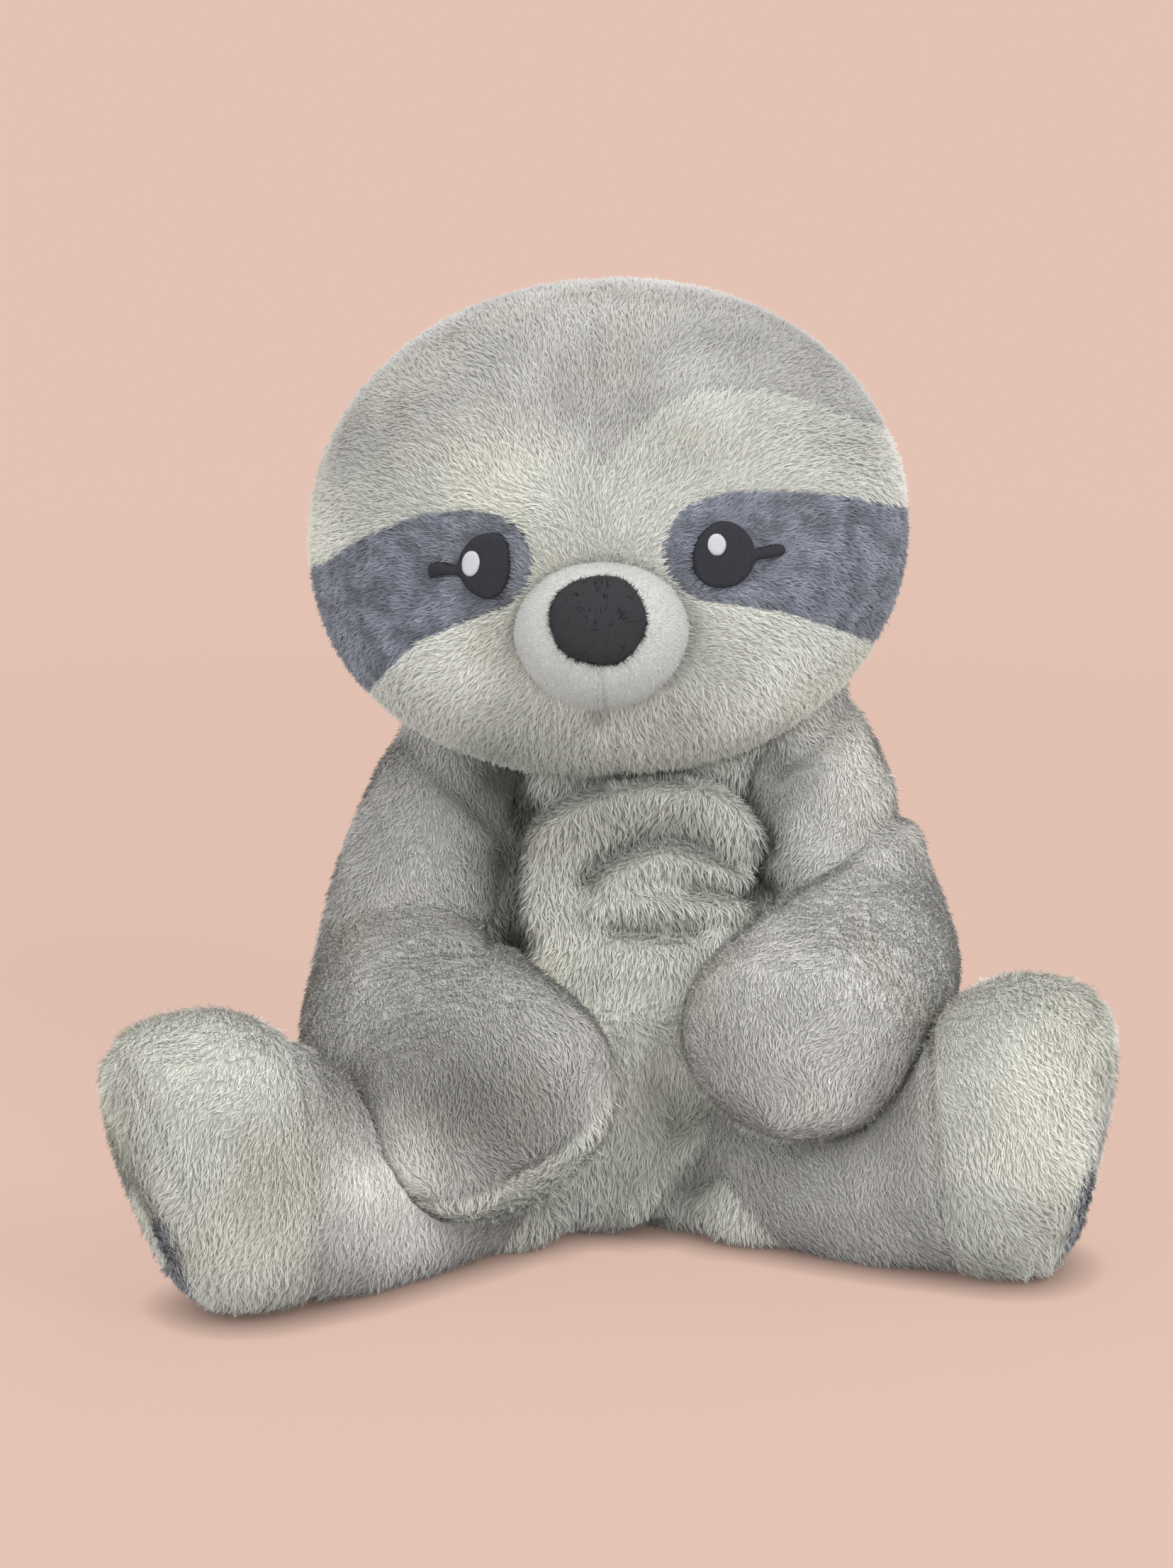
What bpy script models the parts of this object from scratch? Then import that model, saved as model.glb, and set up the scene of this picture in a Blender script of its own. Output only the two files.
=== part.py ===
"""A seated plush sloth.

Covers of plush cloth are sewn over loose filling, with pouches of beads in the seat, the paws and the feet.
The head turns and nods on a wad of filling in the neck, the arms swing at the shoulders and bend at the
elbows, and the legs splay at the hips. The toy looks along -Y, its own left is +X, and the origin is the
middle of its flat seat. Lengths are in metres and angles in degrees.
"""

import math
from types import SimpleNamespace

import bmesh
import bpy
from mathutils import Matrix, Vector

# Cloth and clearances
COVER_THICKNESS = 0.003
SEAM_GAP = 0.0003
BALL_CLEARANCE = 0.0007
FLOOR_FLAT = 0.0005
OVERRUN = 0.020
TWIST_LIMIT = 0.00002

# Torso
TORSO_WIDTH = 0.208
TORSO_DEPTH = 0.148
TORSO_HEIGHT = 0.172
TORSO_DOME = 0.012
SEAT_POUCH_HEIGHT = 0.034
SIDE_SEAM_SETBACK = -0.013

# Head
HEAD_WIDTH = 0.219
HEAD_DEPTH = 0.168
HEAD_HEIGHT = 0.184
HEAD_CLEARANCE = 0.003
HEAD_SINK = 0.021
HEAD_ASIDE = -0.006
HEAD_FORWARD = 0.013
HEAD_ROLL = 3.5
HEAD_YAW = -2.4
HEAD_SEAM_SETBACK = 0.006
NECK_RADIUS = 0.026
NECK_SINK = 0.020
NECK_ASIDE = -0.003
NECK_FORWARD = 0.006

# Face
MUZZLE_WIDTH = 0.060
MUZZLE_HEIGHT = 0.053
MUZZLE_DEPTH = 0.050
MUZZLE_DROP = 0.020
NOSE_WIDTH = 0.034
NOSE_HEIGHT = 0.031
NOSE_DEPTH = 0.016
NOSE_RISE = 0.007
MOUTH_THREAD = 0.0016
MOUTH_TOP_SHARE = 0.25
MOUTH_BOTTOM_SHARE = 0.40
EYE_WIDTH = 0.0195
EYE_HEIGHT = 0.0235
EYE_SPREAD = 0.084
EYE_RISE = 0.0035
EYE_THICKNESS = 0.0012
LASH_LENGTH = 0.010
LASH_WIDTH = 0.0034
GLINT_WIDTH = 0.0070
GLINT_HEIGHT = 0.0088
GLINT_THICKNESS = 0.0006
GLINT_ASIDE = 0.0032
GLINT_RISE = 0.0025

# Arms
SHOULDER_REACH = 0.066
SHOULDER_FORWARD = 0.014
SHOULDER_RADIUS = 0.025
UPPER_ARM_LENGTH = 0.0565
ELBOW_RADIUS = 0.0355
ELBOW_RIM_RISE = 0.010
FOREARM_LENGTH = 0.087
PAW_WIDTH = 0.078
PAW_HEIGHT = 0.076
PAW_DOME = 0.032
PAW_POUCH_LENGTH = 0.045
PALM_LENGTH = 0.072
PALM_WIDTH = 0.058
PALM_DEPTH_SHARE = 0.11

# Legs
HIP_REACH = 0.048
HIP_FORWARD = 0.054
HIP_RADIUS = 0.031
HIP_HEIGHT = 0.033
LEG_WIDTH = 0.069
LEG_HEIGHT = 0.070
FOOT_WIDTH = 0.078
FOOT_HEIGHT = 0.103
FOOT_LENGTH = 0.050
FOOT_POUCH_LENGTH = 0.034
FOOT_PANEL_LENGTH = 0.044
SOLE_PAD_LENGTH = 0.021
SOLE_PAD_WIDTH = 0.013
SOLE_PAD_THICKNESS = 0.0015

# Ranges of the joints, which the clearances follow
NOD_BACK = 8.0
NOD_FORWARD = 6.0
ARM_RAISE = 25.0
ARM_LIFT_OFF = 12.0
ELBOW_BEND = 20.0
LEG_SPLAY = 15.0
SWEEP_STEPS = 3

# How finely the forms are made
TORSO_SEGMENTS = 16
HEAD_SEGMENTS = 20
HEAD_RINGS = 12
LIMB_SEGMENTS = 12
OPENING_SEGMENTS = 10
PALM_SEGMENTS = 12
BALL_SEGMENTS = 16
BALL_RINGS = 6
DOME_RINGS = 3
FACE_SEGMENTS = 16
FACE_RINGS = 8

# Height, half width and half depth up the torso, as shares of its height, width and depth
TORSO_RING_SHARES = (
    (0.00, 0.68, 0.68),
    (0.04, 0.88, 0.88),
    (0.16, 1.00, 1.00),
    (0.32, 0.97, 0.985),
    (0.52, 0.83, 0.88),
    (0.72, 0.68, 0.73),
    (0.88, 0.57, 0.61),
    (1.00, 0.46, 0.48),
)

# Outline of the dark patch round an eye, outwards from the nose, as shares of the head's half width and height
EYE_PATCH_SHARES = (
    (0.20, 0.05),
    (0.22, 0.16),
    (0.28, 0.23),
    (0.40, 0.26),
    (0.56, 0.245),
    (0.79, 0.16),
    (0.95, 0.045),
    (1.08, -0.06),
    (1.08, -0.58),
    (0.82, -0.46),
    (0.70, -0.335),
    (0.585, -0.245),
    (0.455, -0.185),
    (0.31, -0.14),
    (0.225, -0.09),
)

# Where each limb lies: directions are hand-set unit vectors, reaches are lengths
POSES = {
    "left": SimpleNamespace(
        side=1,
        shoulder_height_share=0.802,
        upper_arm=Vector((0.413, -0.488, -0.769)),
        forearm=Vector((-0.393, -0.912, -0.115)),
        palm=Vector((-0.45, 0.25, -0.86)),
        thigh=Vector((0.63, -0.777, 0.0)),
        foot=Vector((0.815, -0.580, 0.0)),
        sole=Vector((0.930, -0.150, -0.335)),
        leg_reach=0.103,
    ),
    "right": SimpleNamespace(
        side=-1,
        shoulder_height_share=0.779,
        upper_arm=Vector((-0.248, -0.461, -0.851)),
        forearm=Vector((0.421, -0.865, -0.273)),
        palm=Vector((0.45, 0.25, -0.86)),
        thigh=Vector((-0.44, -0.898, 0.0)),
        foot=Vector((-0.655, -0.756, 0.0)),
        sole=Vector((-0.895, -0.270, -0.355)),
        leg_reach=0.136,
    ),
}

# Radii along the limbs, as shares of the size at the joint they start from or end at
THIGH_SHARES = ((0.35, 0.97, 0.92), (0.75, 1.00, 1.04))
FOOT_SHARES = ((-0.36, 0.96, 0.93), (0.0, 1.0, 1.0), (0.30, 1.0, 1.0), (0.5, 0.93, 0.95))
SOLE_PAD_TURNS = (-18.0, -60.0, -102.0)
SOLE_PAD_SHARE = 0.78

COLOURS = {
    "light_plush": (0.58, 0.56, 0.51),
    "grey_plush": (0.42, 0.42, 0.41),
    "patch_plush": (0.16, 0.17, 0.20),
    "muzzle_plush": (0.66, 0.63, 0.60),
    "nose_velvet": (0.03, 0.03, 0.035),
    "eye_felt": (0.03, 0.032, 0.036),
    "glint_thread": (0.80, 0.80, 0.82),
    "filling": (0.85, 0.85, 0.83),
    "bead_pouch": (0.72, 0.70, 0.66),
}
PLUSH_ROUGHNESS = 0.95
GLINT_ROUGHNESS = 0.5


def clear_scene():
    for old in list(bpy.data.objects):
        bpy.data.objects.remove(old)


def material(name):
    """The named finish, made once."""
    found = bpy.data.materials.get(name)
    if found is None:
        found = bpy.data.materials.new(name)
        found.use_nodes = True
        shader = found.node_tree.nodes["Principled BSDF"]
        shader.inputs["Base Color"].default_value = (*COLOURS[name], 1)
        shader.inputs["Roughness"].default_value = (
            GLINT_ROUGHNESS if name == "glint_thread" else PLUSH_ROUGHNESS
        )
        shader.inputs["Metallic"].default_value = 0
    return found


def add_object(name, shape):
    """An object with the mesh given as (points, faces)."""
    mesh = bpy.data.meshes.new(name)
    mesh.from_pydata([tuple(p) for p in shape[0]], [], shape[1])
    mesh.update()
    thing = bpy.data.objects.new(name, mesh)
    bpy.context.scene.collection.objects.link(thing)
    return thing


def add_piece(name, shape, finish):
    piece = add_object(name, shape)
    piece.data.materials.append(material(finish))
    piece.data.shade_smooth()
    return piece


def add_guide(name, shape):
    """A shape that only cuts or bounds the pieces."""
    guide = add_object("guide_" + name, shape)
    guide.hide_render = True
    guide.display_type = "WIRE"
    return guide


def combine(thing, operation, *guides):
    for guide in guides:
        step = thing.modifiers.new(guide.name, "BOOLEAN")
        step.operation = operation
        step.object = guide
        step.solver = "EXACT"


def cut(thing, *guides):
    combine(thing, "DIFFERENCE", *guides)


def keep(thing, *guides):
    combine(thing, "INTERSECT", *guides)


def oval_ring(centre, side, up, half_side, half_up, segments):
    points = []
    for step in range(segments):
        angle = 2 * math.pi * step / segments
        points.append(centre + side * (half_side * math.cos(angle)) + up * (half_up * math.sin(angle)))
    return points


def skin(rings, start_pole, end_pole):
    """Joins rings of points into one closed surface. A pole of None leaves that end flat.

    A side that twists is split into triangles, so that a surface and its swollen copy never cross.
    """
    segments = len(rings[0])
    points = [point for ring in rings for point in ring]
    faces = []
    for row in range(len(rings) - 1):
        for step in range(segments):
            after = (step + 1) % segments
            low = row * segments
            high = low + segments
            corners = (low + step, low + after, high + after, high + step)
            a, b, c, d = (points[index] for index in corners)
            if abs((b - a).cross(c - a).normalized().dot(d - a)) > TWIST_LIMIT:
                faces += [corners[:3], (corners[0], *corners[2:])]
            else:
                faces.append(corners)
    last = (len(rings) - 1) * segments
    if start_pole is None:
        faces.append(tuple(reversed(range(segments))))
    else:
        points.append(start_pole)
        pole = len(points) - 1
        faces += [(pole, (step + 1) % segments, step) for step in range(segments)]
    if end_pole is None:
        faces.append(tuple(last + step for step in range(segments)))
    else:
        points.append(end_pole)
        pole = len(points) - 1
        faces += [(pole, last + step, last + (step + 1) % segments) for step in range(segments)]
    return points, faces


class StuffedForm:
    """Oval rings strung along a path. Each station is (centre, direction, half side, half up)."""

    def __init__(self, stations, up_hint, start_dome=0.0, end_dome=0.0):
        self.stations = stations
        self.up_hint = up_hint
        self.start_dome = start_dome
        self.end_dome = end_dome

    def frame(self, station):
        along = station[1].normalized()
        side = self.up_hint.cross(along).normalized()
        return along, side, along.cross(side)

    def shape(self, segments, swell=0.0, turn=None):
        """The surface moved outwards by swell, and then by the turn matrix if there is one."""
        rings = []
        if self.start_dome:
            rings += self.dome(self.stations[0], self.start_dome, -1, segments, swell)
        for index, station in enumerate(self.stations):
            centre, half_side, half_up = station[0], station[2] + swell, station[3] + swell
            along, side, up = self.frame(station)
            if index == 0 and not self.start_dome:
                centre = centre - along * swell
            if index == len(self.stations) - 1 and not self.end_dome:
                centre = centre + along * swell
            rings.append(oval_ring(centre, side, up, half_side, half_up, segments))
        if self.end_dome:
            rings += self.dome(self.stations[-1], self.end_dome, 1, segments, swell)
        poles = [None, None]
        if self.start_dome:
            station = self.stations[0]
            poles[0] = station[0] - station[1].normalized() * (self.start_dome + swell)
        if self.end_dome:
            station = self.stations[-1]
            poles[1] = station[0] + station[1].normalized() * (self.end_dome + swell)
        points, faces = skin(rings, *poles)
        if turn is not None:
            points = [turn @ point for point in points]
        return points, faces

    def above(self, rise, segments, swell):
        """Points of the surface, but for those nearer than rise to the flat end."""
        end, along = self.stations[-1][0], self.stations[-1][1].normalized()
        lower = StuffedForm(self.stations[:-1] + [self.short_of_end(rise)], self.up_hint, self.start_dome)
        points = lower.shape(segments, swell)[0]
        return [point for point in points if (end - point).dot(along) > rise - 2 * swell]

    def short_of_end(self, rise):
        """The station at a distance before the last one."""
        before, last = self.stations[-2:]
        share = rise / (last[0] - before[0]).length
        return (
            last[0].lerp(before[0], share),
            last[1],
            last[2] + (before[2] - last[2]) * share,
            last[3] + (before[3] - last[3]) * share,
        )

    def dome(self, station, height, way, segments, swell):
        """The rings of a domed end, in the order that they lie along the path."""
        along, side, up = self.frame(station)
        rings = []
        for step in range(1, DOME_RINGS):
            angle = 0.5 * math.pi * step / DOME_RINGS
            centre = station[0] + along * (way * (height + swell) * math.sin(angle))
            spread = math.cos(angle)
            rings.append(
                oval_ring(
                    centre, side, up, (station[2] + swell) * spread, (station[3] + swell) * spread, segments
                )
            )
        return rings if way > 0 else rings[::-1]


def egg(centre, halves, turn, segments, rings, swell=0.0):
    """An ellipsoid with its poles along its own Z."""
    rows = []
    for row in range(1, rings):
        angle = math.pi * row / rings
        points = []
        for step in range(segments):
            round_angle = 2 * math.pi * step / segments
            points.append(
                centre
                + turn
                @ Vector(
                    (
                        (halves[0] + swell) * math.sin(angle) * math.cos(round_angle),
                        (halves[1] + swell) * math.sin(angle) * math.sin(round_angle),
                        -(halves[2] + swell) * math.cos(angle),
                    )
                )
            )
        rows.append(points)
    pole = Vector((0, 0, halves[2] + swell))
    return skin(rows, centre - turn @ pole, centre + turn @ pole)


def ball(centre, radius, pole):
    """A ball for cutting a cup, with poles on the joint's axis. Its faces, not its corners, are at the radius."""
    half = radius / (math.cos(math.pi / BALL_SEGMENTS) * math.cos(0.5 * math.pi / BALL_RINGS))
    turn = Vector((0, 0, 1)).rotation_difference(pole).to_matrix()
    return egg(centre, (half, half, half), turn, BALL_SEGMENTS, BALL_RINGS)


def prism(outline, start, along, side, up):
    """An outline of (side, up) places about start, extruded along a vector."""
    outline = list(outline)
    following = outline[1:] + outline[:1]
    area = sum(a[0] * b[1] - b[0] * a[1] for a, b in zip(outline, following))
    if area < 0:
        outline.reverse()
    near = [start + side * x + up * z for x, z in outline]
    far = [point + along for point in near]
    if along.dot(side.cross(up)) < 0:
        near, far = far, near
    return skin([near, far], None, None)


def slab(point, normal, reach):
    """A block with one face through the point, on the side that the normal points to."""
    normal = normal.normalized()
    side = normal.orthogonal().normalized()
    square = ((-reach, -reach), (reach, -reach), (reach, reach), (-reach, reach))
    return prism(square, point, normal * reach, side, normal.cross(side))


def oval_outline(width, height, segments, start=(0.0, 0.0)):
    outline = []
    for step in range(segments):
        angle = 2 * math.pi * step / segments
        outline.append(
            (start[0] + 0.5 * width * math.cos(angle), start[1] + 0.5 * height * math.sin(angle))
        )
    return outline


def turn_about(point, axis, degrees):
    return (
        Matrix.Translation(point)
        @ Matrix.Rotation(math.radians(degrees), 4, axis)
        @ Matrix.Translation(-point)
    )


def sweep(points, centre, axis, degrees):
    """The convex shell round some points as they turn through an angle about a centre."""
    shell = bmesh.new()
    for step in range(SWEEP_STEPS):
        turn = turn_about(centre, axis, degrees * step / (SWEEP_STEPS - 1))
        for point in points:
            shell.verts.new(turn @ point)
    hull = bmesh.ops.convex_hull(shell, input=shell.verts)
    inner = [item for item in hull["geom_interior"] if isinstance(item, bmesh.types.BMVert)]
    bmesh.ops.delete(shell, geom=inner, context="VERTS")
    shell.verts.index_update()
    shape = (
        [vert.co.copy() for vert in shell.verts],
        [tuple(vert.index for vert in face.verts) for face in shell.faces],
    )
    shell.free()
    return shape


# Reaches of the big cutting blocks
BLOCK_REACH = 2 * max(TORSO_HEIGHT, HEAD_WIDTH)
RAISING_AXIS = Vector((-1, 0, 0))

# The torso's form and the joints that sit on it
TORSO_FORM = StuffedForm(
    [
        (Vector((0, 0, TORSO_HEIGHT * z)), Vector((0, 0, 1)), 0.5 * TORSO_WIDTH * x, 0.5 * TORSO_DEPTH * y)
        for z, x, y in TORSO_RING_SHARES
    ],
    Vector((0, 1, 0)),
    end_dome=TORSO_DOME,
)
NECK = Vector((NECK_ASIDE, -NECK_FORWARD, TORSO_HEIGHT - NECK_SINK))
HEAD_CENTRE = Vector((HEAD_ASIDE, -HEAD_FORWARD, TORSO_HEIGHT - HEAD_SINK + 0.5 * HEAD_HEIGHT))
HEAD_HALVES = (0.5 * HEAD_WIDTH, 0.5 * HEAD_DEPTH, 0.5 * HEAD_HEIGHT)
HEAD_TURN = (
    Matrix.Rotation(math.radians(HEAD_YAW), 3, "Z") @ Matrix.Rotation(math.radians(-HEAD_ROLL), 3, "Y")
)


def head_shape(swell=0.0):
    return egg(HEAD_CENTRE, HEAD_HALVES, HEAD_TURN, HEAD_SEGMENTS, HEAD_RINGS, swell)


def head_sweep():
    """Everything that the head can reach as it turns and nods: an oval of revolution about the neck."""
    drift = (HEAD_CENTRE - NECK).length * math.sin(math.radians(max(NOD_BACK, NOD_FORWARD)))
    reach = 0.5 * HEAD_WIDTH + drift
    deep = 0.5 * HEAD_HEIGHT + HEAD_CLEARANCE
    rows = []
    for row in range(HEAD_RINGS + 1):
        angle = math.pi * row / HEAD_RINGS
        centre = Vector((NECK.x, NECK.y, HEAD_CENTRE.z - deep * math.cos(angle)))
        radius = drift + (reach - drift) * math.sin(angle)
        rows.append(oval_ring(centre, Vector((1, 0, 0)), Vector((0, 1, 0)), radius, radius, HEAD_SEGMENTS))
    return skin(rows, None, None)


def limb_places(pose):
    """The joints and ends of one side's arm and leg."""
    shoulder = Vector(
        (pose.side * SHOULDER_REACH, -SHOULDER_FORWARD, TORSO_HEIGHT * pose.shoulder_height_share)
    )
    elbow = shoulder + pose.upper_arm.normalized() * UPPER_ARM_LENGTH
    paw = elbow + pose.forearm.normalized() * FOREARM_LENGTH
    hip = Vector((pose.side * HIP_REACH, -HIP_FORWARD, HIP_HEIGHT))
    sole_way = pose.sole.normalized()
    upright = math.sqrt(1 - sole_way.z**2)
    foot = hip + pose.foot.normalized() * pose.leg_reach
    foot.z = 0.5 * FOOT_HEIGHT * upright - FLOOR_FLAT
    return SimpleNamespace(shoulder=shoulder, elbow=elbow, paw=paw, hip=hip, foot=foot, sole_way=sole_way)


def upper_arm_form(pose, at):
    way = pose.upper_arm.normalized()
    middle = (at.shoulder + at.elbow) / 2
    return StuffedForm(
        [
            (at.shoulder, way, SHOULDER_RADIUS, SHOULDER_RADIUS),
            (middle, way, (SHOULDER_RADIUS + ELBOW_RADIUS) / 2, (SHOULDER_RADIUS + ELBOW_RADIUS) / 2),
            (at.elbow, way, ELBOW_RADIUS - BALL_CLEARANCE, ELBOW_RADIUS - BALL_CLEARANCE),
        ],
        Vector((0, 1, 0)),
        start_dome=SHOULDER_RADIUS,
    )


def forearm_form(pose, at):
    way = pose.forearm.normalized()
    middle = (at.elbow + at.paw) / 2
    return StuffedForm(
        [
            (at.elbow, way, ELBOW_RADIUS, ELBOW_RADIUS),
            (middle, way, (ELBOW_RADIUS + 0.5 * PAW_WIDTH) / 2, (ELBOW_RADIUS + 0.5 * PAW_HEIGHT) / 2),
            (at.paw, way, 0.5 * PAW_WIDTH, 0.5 * PAW_HEIGHT),
        ],
        Vector((0, 0, 1)),
        start_dome=ELBOW_RADIUS,
        end_dome=PAW_DOME,
    )


def leg_form(pose, at):
    """The leg from its round hip end to its flat sole."""
    ankle = at.foot - at.sole_way * (0.5 * FOOT_LENGTH)
    knee = at.hip + pose.thigh.normalized() * (0.5 * pose.leg_reach)
    stations = [(at.hip, pose.thigh.normalized(), HIP_RADIUS, HIP_RADIUS)]
    for along, wide, high in THIGH_SHARES:
        centre = at.hip * (1 - along) ** 2 + knee * (2 * along * (1 - along)) + ankle * along**2
        way = (knee - at.hip) * (1 - along) + (ankle - knee) * along
        way.z = 0
        half_up = 0.5 * LEG_HEIGHT * high
        centre.z = half_up - FLOOR_FLAT
        stations.append((centre, way.normalized(), 0.5 * LEG_WIDTH * wide, half_up))
    for along, wide, high in FOOT_SHARES:
        centre = at.foot + at.sole_way * (FOOT_LENGTH * along)
        half_up = 0.5 * FOOT_HEIGHT * high
        way = at.sole_way if along >= 0 else (at.sole_way + stations[2][1]).normalized()
        centre.z = half_up * math.sqrt(1 - way.z**2) - FLOOR_FLAT
        stations.append((centre, way, 0.5 * FOOT_WIDTH * wide, half_up))
    return StuffedForm(stations, Vector((0, 0, 1)), start_dome=HIP_RADIUS)


def make_torso(places):
    upwards = Vector((0, 0, 1))
    cups = [add_guide("neck_cup", ball(NECK, NECK_RADIUS + SEAM_GAP, upwards))]
    for side, at in places.items():
        shoulder_cup = ball(at.shoulder, SHOULDER_RADIUS + BALL_CLEARANCE, RAISING_AXIS)
        cups.append(add_guide(side + "_shoulder_cup", shoulder_cup))
        cups.append(add_guide(side + "_hip_cup", ball(at.hip, HIP_RADIUS + BALL_CLEARANCE, upwards)))
    sockets = add_guide("sockets", head_sweep())
    combine(sockets, "UNION", *cups)
    hollow = add_guide("torso_hollow", TORSO_FORM.shape(TORSO_SEGMENTS, -COVER_THICKNESS))
    seam = Vector((0, SIDE_SEAM_SETBACK, 0))
    forward = Vector((0, -1, 0))
    behind = add_guide("behind_seam", slab(seam - forward * (-0.5 * SEAM_GAP), -forward, BLOCK_REACH))
    before = add_guide("before_seam", slab(seam + forward * (-0.5 * SEAM_GAP), forward, BLOCK_REACH))
    belly = add_piece("belly_panel", TORSO_FORM.shape(TORSO_SEGMENTS), "light_plush")
    cut(belly, hollow, behind, sockets)
    back = add_piece("back_panel", TORSO_FORM.shape(TORSO_SEGMENTS), "grey_plush")
    cut(back, hollow, before, sockets)
    inside = TORSO_FORM.shape(TORSO_SEGMENTS, -COVER_THICKNESS - SEAM_GAP)
    pouch_top = Vector((0, 0, SEAT_POUCH_HEIGHT))
    above = add_guide("above_seat_pouch", slab(pouch_top, upwards, BLOCK_REACH))
    below = add_guide("below_filling", slab(pouch_top + upwards * SEAM_GAP, -upwards, BLOCK_REACH))
    pouch = add_piece("seat_bead_pouch", inside, "bead_pouch")
    cut(pouch, above, sockets)
    filling = add_piece("torso_filling", inside, "filling")
    cut(filling, below, sockets)


def make_neck():
    """The wad in the neck, turned so that its corners rest against the middles of its cup's faces."""
    halves = (NECK_RADIUS, NECK_RADIUS, NECK_RADIUS)
    turn = Matrix.Rotation(math.pi / BALL_SEGMENTS, 3, "Z")
    shape = egg(NECK, halves, turn, BALL_SEGMENTS, FACE_RINGS)
    add_piece("neck_filling", shape, "filling")


def patch_outline(side, shrink):
    """The eye patch's outline, drawn in by shrink above, below and on the nose's side."""
    outline = []
    middle_share = sum(z for _, z in EYE_PATCH_SHARES) / len(EYE_PATCH_SHARES)
    for x, z in EYE_PATCH_SHARES:
        inwards = shrink if z < middle_share else -shrink
        outline.append((side * (x * HEAD_HALVES[0] + shrink), z * HEAD_HALVES[2] + inwards))
    return outline


def face_prism(name, outline):
    """Extrudes an outline on the face from the head's middle out past its front."""
    across = HEAD_TURN @ Vector((1, 0, 0))
    upward = HEAD_TURN @ Vector((0, 0, 1))
    outward = HEAD_TURN @ Vector((0, -1, 0))
    return add_guide(name, prism(outline, HEAD_CENTRE, outward * HEAD_DEPTH, across, upward))


def eye_outline(side, shrink):
    """An upright oval with a blunt lash on its outer side."""
    middle = (side * 0.5 * EYE_SPREAD, EYE_RISE)
    outline = oval_outline(EYE_WIDTH - 2 * shrink, EYE_HEIGHT - 2 * shrink, FACE_SEGMENTS, middle)
    half_lash = 0.5 * LASH_WIDTH
    root = 0.5 * EYE_WIDTH * math.sqrt(1 - (LASH_WIDTH / EYE_HEIGHT) ** 2)
    tip = 0.5 * EYE_WIDTH + LASH_LENGTH
    outer = [place for place in outline if side * (place[0] - middle[0]) > 0]
    lash_side = [place for place in outer if abs(place[1] - middle[1]) < half_lash]
    kept = [place for place in outline if place not in lash_side]
    for way in (-1, 1):
        kept.append((middle[0] + side * root, middle[1] + way * half_lash))
        kept.append((middle[0] + side * tip, middle[1] + way * half_lash))
    from_middle = [(place[0] - middle[0], place[1] - middle[1]) for place in kept]
    turns = [math.atan2(side * z, side * x) for x, z in from_middle]
    return [place for _, place in sorted(zip(turns, kept))]


def make_head():
    neck_cup = add_guide("head_neck_cup", ball(NECK, NECK_RADIUS + SEAM_GAP, Vector((1, 0, 0))))
    hollow = add_guide("head_hollow", head_shape(-COVER_THICKNESS))
    front = HEAD_TURN @ Vector((0, -1, 0))
    seam = HEAD_CENTRE - front * HEAD_SEAM_SETBACK
    behind = add_guide("head_behind_seam", slab(seam + front * (0.5 * SEAM_GAP), -front, BLOCK_REACH))
    before = add_guide("head_before_seam", slab(seam - front * (0.5 * SEAM_GAP), front, BLOCK_REACH))
    windows = []
    for side, pose in POSES.items():
        windows.append(face_window(side, pose.side, 0.0))
    face = add_piece("face_panel", head_shape(), "light_plush")
    cut(face, hollow, behind, neck_cup, *windows)
    back = add_piece("head_back_panel", head_shape(), "grey_plush")
    cut(back, hollow, before, neck_cup)
    filling = add_piece("head_filling", head_shape(-COVER_THICKNESS - SEAM_GAP), "filling")
    cut(filling, neck_cup)
    for side, pose in POSES.items():
        patch = add_piece(side + "_eye_patch", head_shape(), "patch_plush")
        keep(patch, face_window(side + "_patch", pose.side, SEAM_GAP))
        cut(patch, hollow, behind)
        make_eye(side, pose)
    make_muzzle(front)


def face_window(name, side, shrink):
    """The prism of one eye patch, which runs back to the head's seam."""
    across = HEAD_TURN @ Vector((1, 0, 0))
    upward = HEAD_TURN @ Vector((0, 0, 1))
    front = HEAD_TURN @ Vector((0, -1, 0))
    start = HEAD_CENTRE - front * (HEAD_SEAM_SETBACK + OVERRUN)
    length = front * (HEAD_DEPTH + OVERRUN)
    return add_guide(name + "_window", prism(patch_outline(side, shrink), start, length, across, upward))


def make_eye(side, pose):
    """A flat felt eye on the patch, with a small stitched glint on it."""
    eye_back = add_guide(side + "_eye_back", head_shape(SEAM_GAP))
    eye = add_piece(side + "_eye", head_shape(SEAM_GAP + EYE_THICKNESS), "eye_felt")
    keep(eye, face_prism(side + "_eye_edge", eye_outline(pose.side, 0.0)))
    cut(eye, eye_back)
    glint_level = 2 * SEAM_GAP + EYE_THICKNESS
    glint_back = add_guide(side + "_glint_back", head_shape(glint_level))
    glint = add_piece(side + "_eye_glint", head_shape(glint_level + GLINT_THICKNESS), "glint_thread")
    middle = (pose.side * 0.5 * EYE_SPREAD - GLINT_ASIDE, EYE_RISE + GLINT_RISE)
    outline = oval_outline(GLINT_WIDTH, GLINT_HEIGHT, FACE_SEGMENTS, middle)
    keep(glint, face_prism(side + "_glint_edge", outline))
    cut(glint, glint_back)


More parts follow.
